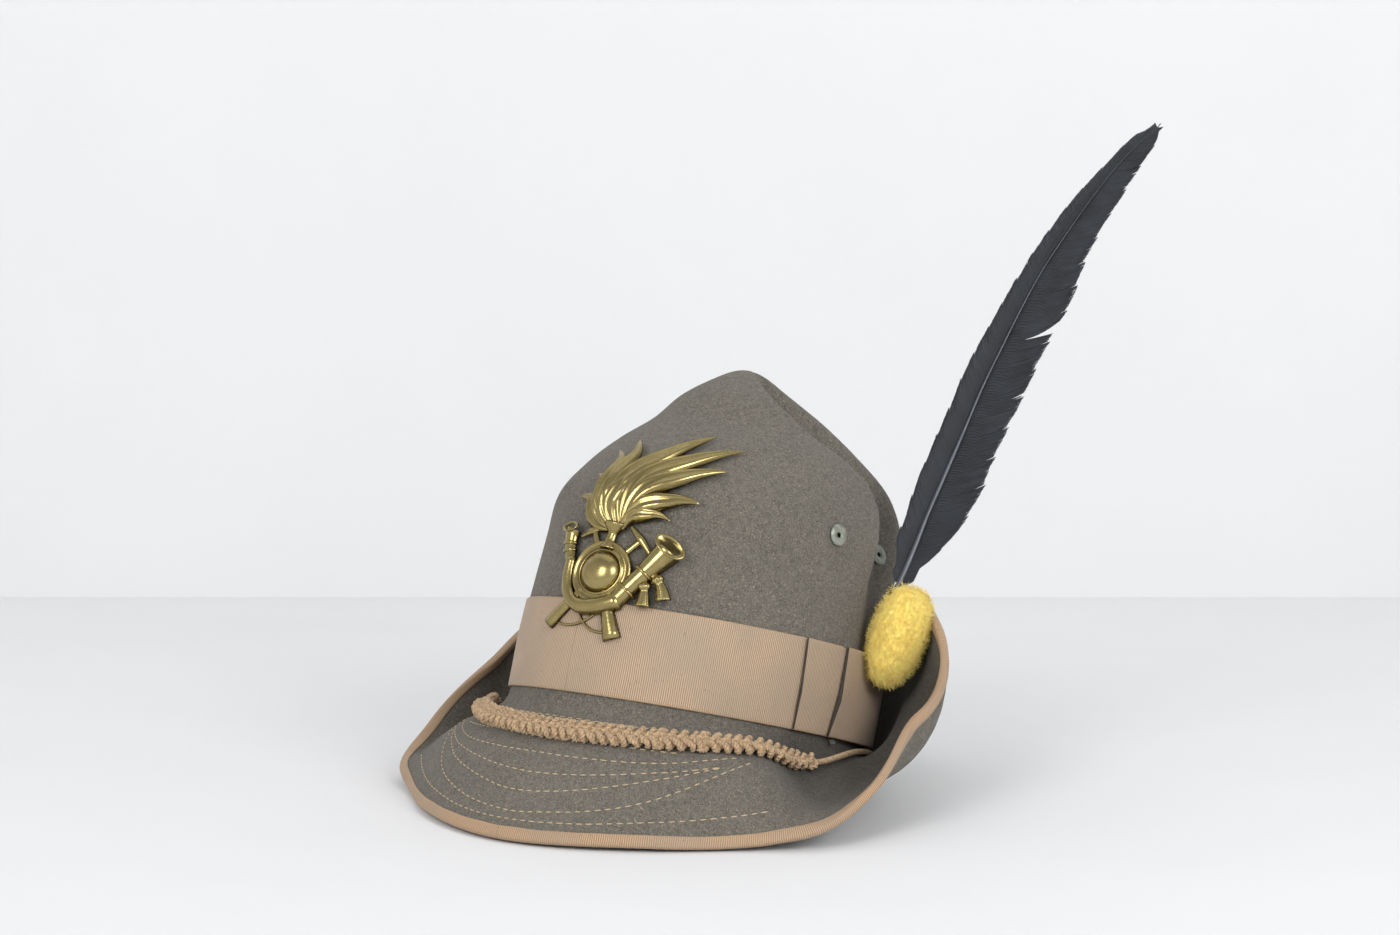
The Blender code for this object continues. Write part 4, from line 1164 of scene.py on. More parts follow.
def make_ribbon(name, look, layer, starts=None, end=None, replaces=()):
    """A ribbon round the crown's foot, or a shorter fold of it that lies on the last layer."""
    shape = Shape()
    shares = np.array([0.0, 0.012, 0.05, 0.2, 0.4, 0.5, 0.6, 0.8, 0.95, 0.988, 1.0])
    rises = rise_at(BAND_FOOT + BAND_HEIGHT * shares)
    lift = CLEARANCE + layer * (RIBBON + CLEARANCE)
    if starts is None:
        azimuths = TURNS
        columns = np.repeat(azimuths[:, None], len(shares), 1)
    else:
        top, middle, bottom = starts
        start = np.interp(shares, (0.0, 0.42, 1.0), (bottom, middle, top))
        steps = np.concatenate([[0.0, 0.002, 0.008], np.linspace(0.03, 0.99, 44), [1.0]])
        columns = start[None, :] + (end - start[None, :]) * steps[:, None]
    # A fold's front edge stands off what lies under it, more in some places than others
    gape = np.zeros(len(columns))
    if starts is not None:
        gape = 0.0006 * np.exp(-((columns[:, 5] - columns[0, 5]) / 2.6) ** 2)
    wave = np.array([noise.noise(Vector((layer * 5.0, a * 0.05, 2.0))) for a in columns[:, 5]])
    grid = ribbon_ring(columns, rises, (lift + gape + 0.00015 * np.abs(wave)))
    middle = CROWN.at(columns[:, 5], rises[5])
    us = travel(middle)
    us = np.append(us, us[-1] + (us[-1] - us[-2]))
    back = shares[::-1][::2]
    vs = np.concatenate([shares, back, [back[-1] - 0.02]]) * BAND_HEIGHT
    tones = np.full(grid.shape[:2], 0.5)
    if starts is not None:
        # Painted shadow under the fold's front edge: its first two rows are dark
        tones[0] = 0.0
        tones[1] = 0.2
    shape.lattice(grid, us, vs, closed_way=starts is None, tone=tones)
    return shape.finish(name, look, replaces)


def make_binding(look):
    """The ribbon folded over the brim's edge, hugging it with a round fold."""
    shape = Shape()
    inner, outer = CLEARANCE / 3, CLEARANCE / 3 + BINDING_RIBBON
    edge = BRIM.at(TURNS, 1.0)
    up = BRIM.normal(TURNS, 1.0)
    out = unit(edge - BRIM.at(TURNS, 0.97))
    middle = edge - up * FELT / 2
    roots = binding_root(TURNS)
    pucker = np.array([0.00012 * noise.noise(Vector((a * 0.55, 3.0, 1.0))) for a in TURNS])
    spread = np.array([0.00035 * noise.noise(Vector((a * 0.12, 9.0, 1.0))) for a in TURNS])
    half = FELT / 2
    rings = []
    for share, lift in ((0.0, outer - 0.0003), (0.10, outer), (0.45, outer + 0.0001), (0.8, outer)):
        place = roots + spread / brim_width(TURNS) + (1.0 - roots) * share
        rings.append(BRIM.at(TURNS, place, lift + pucker))
    for turn in np.radians(np.linspace(78, -78, 7)):
        lean = out * math.cos(turn) * (outer + 0.40 * half) + up * math.sin(turn) * (half + outer)
        rings.append(middle + lean)
    for share, lift in ((0.8, outer), (0.45, outer + 0.0001), (0.10, outer), (0.0, outer - 0.0003)):
        place = roots + (1.0 - roots) * share
        rings.append(BRIM.at(TURNS, place, -FELT - lift))
    rings.append(BRIM.at(TURNS, roots, -FELT - inner))
    rings.append(BRIM.at(TURNS, roots + (1.0 - roots) * 0.9, -FELT - inner))
    rings.append(BRIM.at(TURNS, roots + (1.0 - roots) * 0.9, inner))
    rings.append(BRIM.at(TURNS, roots + spread / brim_width(TURNS), inner))
    grid = np.stack(rings, 1)
    us = travel(np.concatenate([edge, edge[:1]]))
    across = np.linalg.norm(np.diff(grid, axis=1), axis=2).mean(0)
    vs = np.concatenate([[0.0], np.cumsum(across)])
    vs = np.append(vs, vs[-1] + 0.001)
    shape.lattice(grid, us, vs, closed_way=True)
    return shape.finish("brim_edge_ribbon", look, ["brim_binding"])


def braid_way(azimuth):
    return np.interp(azimuth, BRAID_AZIMUTHS, BRAID_WAYS)


def on_way(azimuth, way, lift):
    """A place on the brim by its distance from the crown's foot."""
    return BRIM.at(azimuth, way / brim_width(azimuth), lift)


def make_braid(looks, look):
    """Three strands, each of two twisted cords, plaited over and under and knotted at the ends."""
    shape = Shape()
    count = 900
    share = np.linspace(0.0, 1.0, count)
    start, end = BRAID_START + 2.0, BRAID_END - 1.5
    azimuth = start + (end - start) * share
    taper = np.clip(np.minimum(share / 0.012, (1.0 - share) / 0.03), 0.35, 1.0)
    cycles = looks.loops
    wander = np.array([noise.noise(Vector((s * 60.0, 0.0, 5.0))) for s in share])
    for strand in range(3):
        turn = 2 * math.pi * (cycles * share + strand / 3.0) + wander
        for twin in (-1.0, 1.0):
            swing = BRAID_SWING * np.sin(turn) + BRAID_TWIN * twin + 0.0005 * wander
            climb = BRAID_RISE * np.sin(2 * turn) + 0.0004 * np.cos(turn) * twin + 0.0005 * wander
            ahead = 0.6 * twin * np.sign(np.cos(turn)) * np.abs(np.cos(turn)) ** 0.5
            path = on_way(azimuth + ahead, braid_way(azimuth) + swing * taper, BRAID_LIFT + climb * taper)
            phase, tone = strand + twin, 0.5 + 0.10 * twin
            add_rope(shape, path, BRAID_CORD, 2, BRAID_TWIST, 5, phase, per_turn=7, tone=tone)
    for azimuth, size in ((BRAID_START + 0.6, 1.05), (BRAID_END - 1.6, 0.8)):
        way = braid_way(azimuth)
        middle = on_way(np.array([azimuth]), way, 0.0036)[0]
        ahead = unit(on_way(np.array([azimuth + 1.0]), way, 0.0036)[0] - middle)
        up = BRIM.normal(np.array([azimuth]), way / brim_width(azimuth))[0]
        across = np.cross(ahead, up)
        turn = np.linspace(0.0, 2 * math.pi, 140)
        ring = np.cos(2 * turn)[:, None] * across + np.sin(2 * turn)[:, None] * up * 0.62
        knot = (2.0 + np.cos(3 * turn))[:, None] * ring + np.sin(3 * turn)[:, None] * ahead * 1.5
        knot = middle + knot * 0.0015 * size
        add_rope(shape, knot, 0.00125, 2, 0.0030, 6)
    return shape.finish("braid_plait", look, ["braid"])


def make_cord(looks, look):
    """Three plies twisted into the cord that runs round the back of the crown."""
    start, end = BRAID_END - 1.0, 360.0 + BRAID_START + 1.0
    azimuth = np.linspace(start, end, 500)
    near = np.clip(np.minimum(azimuth - start, end - azimuth) / CORD_TURN, 0.0, 1.0)
    ends = np.where(azimuth > 180.0, braid_way(BRAID_START), braid_way(azimuth))
    way = ends + (CORD_WAY - ends) * near * near * (3.0 - 2.0 * near)
    shape = Shape()
    path = on_way(azimuth, way, CORD_LIFT)
    add_rope(shape, path, CORD_RADIUS, 3, looks.cord_pitch, 7, per_turn=10)
    return shape.finish("cord_round_back", look, ["twisted_cord"])


def make_eyelets(look):
    """Turned and painted eyelets, each with a rolled rim and a dished middle."""
    profile = [
        (0.00120, 0.00105), (0.00150, 0.00125), (0.00200, 0.00148), (0.0028, 0.00172),
        (0.0034, 0.00182), (0.0041, 0.00172), (0.0047, 0.00148), (0.0051, 0.00118), (0.0053, 0.0009),
        (0.0052, 0.0006), (0.0046, 0.0005), (0.0031, 0.0006), (0.0029, 0.0), (0.0028, -0.0030),
        (0.0032, -0.0037), (0.0045, -0.0037), (0.0046, -0.0042), (0.0030, -0.0043),
        (0.0022, -0.0036), (0.0021, 0.0), (0.0019, 0.0004), (0.00125, 0.0007),
    ]
    for wing, where, middle, axis in vent_frames():
        shape = Shape()
        grid = revolved(middle, axis, profile, 36)
        shape.lattice(grid, np.arange(37) * 0.001, np.arange(len(profile) + 1) * 0.0006, closed_way=True)
        shape.finish(f"eyelet_{wing}_{where}", look, [f"vent_eyelet_{wing}_{where}"])


def on_badge(across, up, lift):
    """A place on the badge, which follows the crown's face."""
    rise = rise_at(up)
    length = math.radians(CROWN_WIDTH / 2) * np.interp(rise, RISES, SPREADS)
    return CROWN.at(BADGE_AZIMUTH + across / length, rise, BADGE_LIFT + lift)


SPREADS = np.array([crown_row(r, "spread") for r in RISES])


def strip(shape, line, halves, section, lift=0.0, tall=1.0):
    """Lays a bar of this section along a line on the badge. The section is in half widths."""
    along = unit(np.gradient(line, axis=0))
    side = np.stack([-along[:, 1], along[:, 0]], -1)
    grid, tones = [], []
    for out, up in section:
        place = line + side * (halves * out)[:, None]
        grid.append(on_badge(place[:, 0], place[:, 1], lift + up * halves * tall))
        tones.append(np.full(len(line), min(max(up, 0.0), 1.0)))
    shape.lattice(np.stack(grid, 1), tone=np.stack(tones, 1))


def bow(points, steps):
    """A smooth line through three points of a bar, with the half width along it."""
    t = np.linspace(0.0, 1.0, steps + 1)
    mixes = (2 * (t - 0.5) * (t - 1), -4 * t * (t - 1), 2 * t * (t - 0.5))
    line = sum(m[:, None] * np.array(p[:2])[None, :] for m, p in zip(mixes, points))
    halves = np.interp(t, (0.0, 0.5, 1.0), [p[2] for p in points])
    return line + np.array([0.0, BOSS_MIDDLE[1]]), halves


def round_section(sides=10, flat=0.0):
    turns = np.linspace(math.pi, 0.0, sides)
    return [(math.cos(t), flat + math.sin(t) * (1 - flat)) for t in turns]


def boss_ring(radius, lift, sides=64):
    """Points on a circle round the boss."""
    turns = np.arange(sides) * 2 * math.pi / sides
    across, up = BOSS_MIDDLE
    return on_badge(across + radius * np.cos(turns), up + radius * np.sin(turns), lift)


def hoop(shape, radius, profile, sides=72):
    """A ring round the boss with this profile of radius and height."""
    grid = [boss_ring(radius + out, up, sides) for out, up in profile]
    tops = max(up for _, up in profile)
    tones = np.array([min(max(up / tops, 0.0), 1.0) for _, up in profile])
    shape.lattice(np.stack(grid, 1), closed_way=True, tone=np.broadcast_to(tones, (sides, len(profile))))


def dish(shape, middle, axis, half, rim, lift, depth):
    """The open mouth of the horn: an oval rim with a hollow inside it."""
    profile = [
        (1.00, 0.0), (1.06, 0.35), (1.02, 0.62), (0.93, 0.70),
        (0.84, 0.60), (0.66, 0.25), (0.40, 0.05), (0.12, 0.0),
    ]
    along = np.array(axis, float)
    along = along / np.linalg.norm(along)
    side = np.array([-along[1], along[0]])
    turns = np.arange(40) * 2 * math.pi / 40
    grid, tones = [], []
    for out, up in profile:
        place = (
            np.array(middle)[None, :]
            + side[None, :] * (np.cos(turns) * half * out)[:, None]
            + along[None, :] * (np.sin(turns) * rim * out)[:, None]
        )
        tilt = -np.sin(turns) * rim * out * 0.35
        grid.append(on_badge(place[:, 0], place[:, 1], lift + up * depth + tilt))
        tones.append(np.full(40, up / 0.7 if out > 0.8 else 0.15))
    shape.lattice(np.stack(grid[::-1], 0), tone=np.stack(tones[::-1], 0))


def flame_section(grooves):
    """The section of a tongue: a flat foot, then ridges with grooves between them."""
    points = [(-1.0, 0.0)]
    count = grooves * 4 + 5
    for k in range(count):
        t = -0.96 + 1.92 * k / (count - 1)
        crest = 0.30 + 0.62 * math.sqrt(max(1.0 - t * t, 0.0))
        cut = 0.28 * (0.5 - 0.5 * math.cos(2 * math.pi * (grooves + 1) * (t + 0.96) / 1.92))
        points.append((t, crest - 0.28 + cut))
    points.append((1.0, 0.0))
    return points


def add_plume(shape):
    """The plume's tongues, each bowed and curled at the tip, and the collar that they rise from."""
    for number, (across, up, lean, half) in enumerate(TONGUES):
        foot = np.array([across * 0.10 + 0.0012, COLLAR_TOP - 0.002])
        tip = np.array([across, COLLAR_TOP + up])
        size = np.linalg.norm(tip - foot)
        square = np.array([-(tip - foot)[1], (tip - foot)[0]]) / size
        shares = np.linspace(0.0, 1.0, 33)
        t = shares[:, None]
        sway = np.sin(np.pi * t) * lean + np.sin(2 * np.pi * t) * lean * 0.40
        curl = np.clip(t - 0.72, 0.0, 1.0) ** 2 * 0.060 * (1.0 if across > 0.01 else -1.2)
        line = foot + (tip - foot) * t + square * (sway - curl)
        halves = half * 1.36 * np.interp(shares, *TONGUE_TAPER)
        lift = 0.0009 * ((number * 3) % 5) / 4 + 0.0014 * shares**2
        strip(shape, line, halves, flame_section(1), lift, 0.95)
    low_end = BOSS_MIDDLE[1] + RING_RADIUS - 0.001
    collar = np.array([[0.0, low_end], [0.0004, 0.0735], [0.0008, 0.0770], [0.0011, COLLAR_TOP + 0.0012]])
    t = np.linspace(0, 3, 22)
    line = np.stack([np.interp(t, range(4), collar[:, k]) for k in (0, 1)], -1)
    halves = np.interp(np.linspace(0, 1, 22), *COLLAR_HALVES)
    strip(shape, line, halves, round_section(), 0.0002, 0.85)


def add_bars(shape):
    """The axes, slings, cords, tassels and the horn with its bands and its mouths."""
    bar = round_section()
    ridge = [(-1.0, 0.0), (-0.92, 0.55), (-0.45, 0.92), (0.0, 1.08), (0.45, 0.92), (0.92, 0.55), (1.0, 0.0)]
    for name, points in BARS.items():
        line, halves = bow(points, 26)
        if name in ("left_axe", "right_axe"):
            strip(shape, line, halves, ridge, 0.0, 0.8)
        elif name.endswith("tassel"):
            halves = halves * np.interp(np.linspace(0, 1, 27), *TASSEL_TAPER)
            turns = np.linspace(math.pi, 0, 19)
            comb = [(math.cos(a), math.sin(a) * (1.0 + 0.14 * math.cos(9 * a))) for a in turns]
            strip(shape, line, halves, comb, 0.0024, 0.9)
        elif name.startswith("horn"):
            strip(shape, line, halves, round_section(14), 0.0008, 1.05)
        elif name.endswith("sling"):
            strip(shape, line, halves, bar, 0.0, 1.2)
        else:
            strip(shape, line, halves, bar, 0.0004, 0.9)
    for place, half, along in HORN_BANDS:
        direction = np.array(along) / np.linalg.norm(along)
        line = np.array(place) + direction * np.linspace(-0.0007, 0.0007, 5)[:, None]
        strip(shape, line, half * np.array([0.94, 1.0, 1.04, 1.0, 0.94]), round_section(14), 0.0009, 1.0)
    dish(shape, (0.0293, BOSS_MIDDLE[1] + 0.0150), (0.60, 0.80), 0.0074, 0.0040, 0.0052, 0.0020)
    dish(shape, (-0.0216, BOSS_MIDDLE[1] + 0.0196), (-0.1, 1.0), 0.0046, 0.0026, 0.0040, 0.0016)


def add_boss(shape):
    """The plain dome on its seat, the ring round it and the plate behind them."""
    low = BADGE_BACK / 2
    hoop(shape, RING_RADIUS, RING_PROFILE)
    seat = [(-0.0006, 0.0), (-0.0006, low + 0.0008), (0.0, low + 0.0013)]
    seat += [(0.0006, low + 0.0008), (0.0006, 0.0)]
    hoop(shape, BOSS_RADIUS + 0.0003, seat)
    rings = np.stack([boss_ring(BOSS_RADIUS * out, low + BOSS_RISE * up) for out, up in DOME_PROFILE])
    tones = np.full(rings.shape[:2], 0.9)
    tones[:3] = [[0.2], [0.35], [0.6]]
    shape.lattice(rings, tone=tones)
    plate = [boss_ring(RING_RADIUS + 0.001, lift) for lift in (0.0, BADGE_BACK)]
    shape.lattice(np.stack(plate), tone=0.1)


def make_badge(look):
    """A swept plume over a plain domed boss in a ring, a curled horn, tassels and crossed axes."""
    shape = Shape()
    add_plume(shape)
    add_bars(shape)
    add_boss(shape)
    return shape.finish("brass_badge", look, ["badge"])


def tuft_frame():
    """The tuft's long, outward and side directions."""
    along = unit(np.array(TUFT_AXIS))
    azimuth = math.degrees(math.atan2(TUFT_MIDDLE[0] / CROWN_WIDTH, -TUFT_MIDDLE[1] / CROWN_LENGTH))
    out = outward(np.array([azimuth]))[0]
    out = unit(out - along * out.dot(along))
    return along, out, np.cross(along, out)


def make_tuft(looks, look):
    """Short wool pile on a lumpy egg, dense enough to hide what it grows from."""
    along, out, side = tuft_frame()
    rows, sides = 130, 200
    grid = np.zeros((rows, sides, 3))
    for k in range(rows):
        turn = math.pi * (k + 0.5) / rows
        height = -math.cos(turn)
        for i in range(sides):
            angle = 2 * math.pi * i / sides
            flat = side * math.cos(angle) + out * math.sin(angle) * TUFT_DEPTH_SHARE
            seed = np.array([flat[0] * 9, flat[1] * 9, height * 5 + flat[2] * 9])
            lump = 1.0 + 0.055 * noise.noise(Vector(seed * 0.40)) + 0.050 * noise.noise(Vector(seed * 1.1))
            lump += 0.034 * noise.noise(Vector(seed * 3.0)) + 0.018 * noise.noise(Vector(seed * 7.0))
            taper = math.sin(turn) ** 0.76 * (1.0 + 0.10 * height - 0.08 * height**2)
            radius = (TUFT_HALF_WIDTH * 1.10 - looks.pile * 0.3) * taper * lump
            tall = height * (TUFT_HALF_HEIGHT - looks.pile * 0.4) + 0.0014
            sway = side * (0.0034 * height - 0.0012)
            place = np.array(TUFT_MIDDLE) + along * tall + flat * radius + sway
            # The pile swells where the feather's sleeve comes out
            apart = np.linalg.norm(place - np.array(FEATHER_FOOT))
            grid[k, i] = place + along * 0.0022 * math.exp(-((apart / 0.006) ** 2))
    shape = Shape()
    shape.lattice(grid, tone=0.5)
    core = shape.finish("tuft_core", look)
    source = core.copy()
    source.data = core.data.copy()
    source.parent = None
    bpy.context.scene.collection.objects.link(source)
    settings = {
        "Count per area": looks.pile_count,
        "Length": looks.pile,
        "Thickness": looks.yarn,
        "Lean": 1.0,
        "Bend": 1.1,
        "Seed": 3,
    }
    settle(grown(source, hair_tree(), "tuft_pile", settings, look), ["wool_tuft"])


def feather_frame():
    """The feather's long, side and face directions."""
    along = unit(np.array(FEATHER_TIP) - np.array(FEATHER_FOOT))
    side = np.array(FEATHER_SIDE)
    side = unit(side - along * side.dot(along))
    return along, side, np.cross(along, side)


def feather_row(share, name):
    return np.array([read_table(FEATHER_SECTIONS, FEATHER_COLUMNS, name, s) for s in np.atleast_1d(share)])


def shaft_point(share):
    share = np.atleast_1d(share)
    foot, tip = np.array(FEATHER_FOOT), np.array(FEATHER_TIP)
    return foot + (tip - foot) * share[:, None] - feather_frame()[1] * feather_row(share, "bow")[:, None]


def shaft_radius(share):
    return np.interp(share, (0.0, 0.10, 0.45, 1.0), (QUILL_RADIUS, 0.00115, 0.0006, QUILL_TIP_RADIUS * 0.6))


def make_shaft(look):
    """The quill, round from the foot and thinning to the tip."""
    shares = np.linspace(0.0, 1.0, 90)
    points = np.concatenate([[QUILL_END], shaft_point(shares)])
    radii = np.concatenate([[QUILL_RADIUS * 0.8], shaft_radius(shares)])
    shape = Shape()
    tones = np.interp(np.arange(91), (0, 30, 62, 90), (1.0, 0.75, 0.1, 0.0))[:, None]
    add_tube(shape, points, radii, 12, tones)
    return shape.finish("feather_quill", look, ["feather_shaft"])


def make_vane(looks, look, column, way):
    """Separate barbs that lie side by side, part at the splits and end in a ragged edge."""
    along, side, face = feather_frame()
    shape = Shape()
    length = float(np.linalg.norm(np.array(FEATHER_TIP) - np.array(FEATHER_FOOT)))
    rng = random.Random(17 if column == "inner" else 23)
    sweep = math.radians(looks.barb_sweep)
    splits = SPLITS[column]
    count = int(looks.barbs)
    steps = 9
    t = np.linspace(0.0, 1.0, steps)
    drift, clump = 0.0, 0.0
    for k in range(count):
        share = 0.016 + 0.974 * k / (count - 1)
        # A barb leaves the shaft low and reaches its width further up
        width = float(feather_row(min(share + 0.055 * (1.0 - share), 1.0), column)[0])
        width = max(width * min(1.0, share / 0.05), 0.0028 * (1.0 - share) + 0.0022)
        # The edge runs in short scallops, each a clump of barbs that ends a little further out
        clump = (clump + rng.uniform(0.6, 1.4) * looks.scallops / count) % 1.0
        drift = drift * 0.975 + rng.uniform(-0.008, 0.008)
        ragged = 1.0 + drift + looks.ragged * (clump - 0.5) + rng.uniform(-0.006, 0.006)
        part = 0.0
        for place, size in splits:
            if share > place:
                part += size * math.exp(-((share - place) / 0.030) ** 2)
            else:
                part -= 0.30 * size * math.exp(-((share - place) / 0.020) ** 2)
        reach = width * ragged
        sweep_here = sweep * (1.0 + 0.25 * share)
        up = reach / math.tan(sweep_here) * 0.62
        up = min(up, (1.0 - share) * length * 0.98 + 0.001)
        root = shaft_point(share)[0] + side * way * (shaft_radius(share) * 0.6)
        bend = t**1.35
        spread = t * (1.0 - 0.10 * t)
        points = root + side * way * (reach * spread)[:, None] / 0.9
        points = points + along * (up * bend + part * length * t**3)[:, None]
        points = points - face * (reach * VANE_CAMBER * t**2)[:, None]
        points = points + face * (0.00012 * ((k % 2) * 2 - 1) + 0.00025 * rng.uniform(-1, 1) * t[:, None])
        direction = unit(np.gradient(points, axis=0))
        flat = unit(np.cross(direction, face))
        half = 0.5 * length * 0.974 / (count - 1) * 1.7
        halves = half * np.interp(t, (0.0, 0.75, 1.0), (1.05, 0.95, 0.35))
        flat, thick = flat * halves[:, None], face * BARB_THICKNESS
        grid = np.stack([points + flat, points + thick, points - flat, points - thick], 1)
        us = np.append(travel(points), 0.03)
        tone = 0.5 + 0.14 * rng.uniform(-1, 1) + 0.9 * drift
        shape.lattice(grid, us, np.array([0.0, half, 2 * half, half, 0.0]), tone=tone)
    return shape.finish(f"{column}_barbs", look, [f"{column}_vane"])


def make_stitches(looks, look):
    """Rows of machine stitches that hold the visor's layers together."""
    points, along, upward = [], [], []
    for row in STITCH_ROWS:
        places = np.array(row, float)
        way = np.linspace(0.0, 1.0, len(places))
        fine = np.linspace(0.0, 1.0, 200)
        azimuth = smooth_through(way, places[:, 0], fine)
        share = smooth_through(way, places[:, 1], fine)
        line = BRIM.at(azimuth, share, 0.00018)
        distance = travel(line)
        count = int(distance[-1] / looks.stitch_pitch)
        for k in range(count):
            here = (k + 0.5) * looks.stitch_pitch
            a = np.interp(here, distance, azimuth)
            s = np.interp(here, distance, share)
            before = np.array([np.interp(here - 0.001, distance, line[:, i]) for i in range(3)])
            after = np.array([np.interp(here + 0.001, distance, line[:, i]) for i in range(3)])
            points.append(BRIM.at(a, s, 0.00018))
            along.append(unit(after - before))
            upward.append(BRIM.normal(a, s))
    source = plain_object("stitch_places", np.array(points), [])
    turn = np.array(HAT)[:3, :3]
    for name, values in (("along", along), ("upward", upward)):
        layer = source.data.attributes.new(name, "FLOAT_VECTOR", "POINT")
        layer.data.foreach_set("vector", (np.array(values) @ turn.T).astype(np.float32).ravel())
    settings = {"Length": looks.stitch_pitch * 0.70, "Width": 0.00062}
    return settle(grown(source, stitch_tree(), "visor_stitching", settings, look))


def smooth_through(places, values, fine):
    """A smooth curve through points, read at finer places."""
    slopes = np.gradient(values, places)
    k = np.clip(np.searchsorted(places, fine, side="right") - 1, 0, len(places) - 2)
    step = places[k + 1] - places[k]
    share = (fine - places[k]) / step
    return hermite(slopes[k] * step, values[k], values[k + 1], slopes[k + 1] * step, share)


def make_tacks(look):
    """Small loops of thread that hold the folds at the band's top and bottom."""
    shape = Shape()
    lift = CLEARANCE + 3 * (RIBBON + CLEARANCE)
    for azimuth, height in ((88.6, 0.0445), (90.1, -0.0010)):
        middle = CROWN.at(azimuth, rise_at(max(height, 0.0)), lift * 0.7)
        normal = CROWN.normal(azimuth, rise_at(max(height, 0.0)))
        middle = middle + np.array([0.0, 0.0, min(height, 0.0)])
        ahead = unit(CROWN.at(azimuth + 1.0, 0.1) - CROWN.at(azimuth - 1.0, 0.1))
        up = np.cross(normal, ahead)
        for number in range(3):
            turn = np.linspace(0.0, 2 * math.pi, 40)
            size = 0.0013 - 0.0002 * number
            loop = middle + (np.cos(turn)[:, None] * ahead + np.sin(turn)[:, None] * up * 0.8) * size
            loop = loop + normal * (0.0004 * np.sin(2 * turn + number))[:, None]
            loop = loop + ahead * 0.0006 * (number - 1)
            add_tube(shape, loop, 0.00016, 5)
    return shape.finish("fold_tacks", look)


def view_direction(looks):
    """The way from the hat to the camera."""
    turn, pitch = math.radians(looks.view_azimuth), math.radians(looks.view_pitch)
    out = math.cos(pitch)
    return Vector((math.sin(turn) * out, -math.cos(turn) * out, math.sin(pitch)))


def aimed(name, data, place, direction):
    """Puts a camera or a lamp at this place, looking against this direction."""
    made = bpy.data.objects.new(name, data)
    made.location = place
    made.rotation_mode = "QUATERNION"
    made.rotation_quaternion = direction.to_track_quat("Z", "Y")
    bpy.context.scene.collection.objects.link(made)
    return made


def make_camera(looks):
    """The camera, at the photograph's viewing angle."""
    data = bpy.data.cameras.new("photo_camera")
    data.lens = looks.lens
    data.sensor_width = 36.0
    data.clip_start = 0.01
    bpy.context.scene.camera = aimed("photo_camera", data, CAMERA_PLACE, view_direction(looks))


def sheet_look(name, colour):
    """Pale, faintly uneven board. Only its front shows, so that a view from behind isn't shut out."""
    look, tree, shader = new_look(name, 0.85, specular=0.2)
    place = put(tree, "ShaderNodeTexCoord").outputs["Object"]
    folds = noisy(tree, place, 5.0, 3.0, 0.6)
    shade = blended(tree, ranged(tree, folds, 0.3, 0.7), tinted(colour, 0.98), (*colour, 1.0))
    tree.links.new(shade, shader.inputs["Base Color"])
    bumped(tree, shader, folds, 0.008, 0.25)
    behind = put(tree, "ShaderNodeNewGeometry").outputs["Backfacing"]
    tree.links.new(minus(tree, 1.0, behind), shader.inputs["Alpha"])
    return look


def make_sheet(name, colour, profile, level):
    """A floor or wall with this profile along the camera's level direction."""
    side = Vector((-level.y, level.x, 0.0))
    columns = np.linspace(-STAGE_HALF, STAGE_HALF, 17)
    points = [
        level * way + side * float(x) + Vector((0.0, 0.0, height - STAGE_GAP))
        for way, height in profile
        for x in columns
    ]
    faces = []
    for k in range(len(profile) - 1):
        for i in range(len(columns) - 1):
            a = k * len(columns) + i
            faces.append((a, a + 1, a + len(columns) + 1, a + len(columns)))
    mesh = bpy.data.meshes.new(name)
    mesh.from_pydata([tuple(p) for p in points], [], faces)
    mesh.materials.append(sheet_look(name, colour))
    sheet = bpy.data.objects.new(name, mesh)
    bpy.context.scene.collection.objects.link(sheet)


def light_room(looks):
    """Even light from all round, a little darker from above."""
    world = bpy.data.worlds.new("soft_room")
    world.use_nodes = True
    tree = world.node_tree
    way = put(tree, "ShaderNodeTexCoord").outputs["Generated"]
    rise = put(tree, "ShaderNodeSeparateXYZ", {0: way}).outputs[2]
    shade = blended(tree, ranged(tree, rise, 0.15, 0.95), (1.0, 1.0, 1.0, 1.0), (0.50, 0.51, 0.53, 1.0))
    tree.links.new(shade, tree.nodes["Background"].inputs[0])
    tree.nodes["Background"].inputs[1].default_value = looks.room_light
    bpy.context.scene.world = world


def make_lamps(looks):
    """Three square softboxes that look at the hat's foot."""
    lamps = (
        ("key_softbox", (0.25, -2.1, 1.2), 0.9, looks.key_light, (1.0, 0.99, 0.97)),
        ("fill_softbox", (2.0, -0.7, 1.1), 0.9, looks.fill_light, (0.98, 0.99, 1.0)),
        ("top_softbox", (0.0, 0.3, 2.4), 1.8, looks.top_light, (1.0, 1.0, 1.0)),
    )
    for name, spot, size, power, colour in lamps:
        light = bpy.data.lights.new(name, "AREA")
        light.shape = "SQUARE"
        light.size = size
        light.energy = power
        light.color = colour
        aimed(name, light, spot, Vector(spot) - Vector(LAMP_AIM))


def make_stage(looks):
    """A pale floor and wall, soft lights and the camera."""
    bpy.context.scene.view_settings.view_transform = "Standard"
    make_camera(looks)
    back = view_direction(looks)
    level = Vector((back.x, back.y, 0.0)).normalized()
    far = looks.wall_distance
    floor = [(way, 0.0) for way in (*FLOOR_WAYS, -far)]
    wall = [(-far, height) for height in WALL_HEIGHTS]
    make_sheet("pale_floor", looks.floor_colour, floor, level)
    make_sheet("pale_wall", looks.wall_colour, wall, level)
    light_room(looks)
    make_lamps(looks)


# Add-on


def colour_prop(name, description, default):
    return bpy.props.FloatVectorProperty(
        name=name, description=description, subtype="COLOR", size=3, min=0.0, max=1.0, default=default
    )


def length_prop(name, description, default, low=0.0, high=0.1):
    return bpy.props.FloatProperty(
        name=name, description=description, unit="LENGTH", min=low, max=high, precision=5, default=default
    )


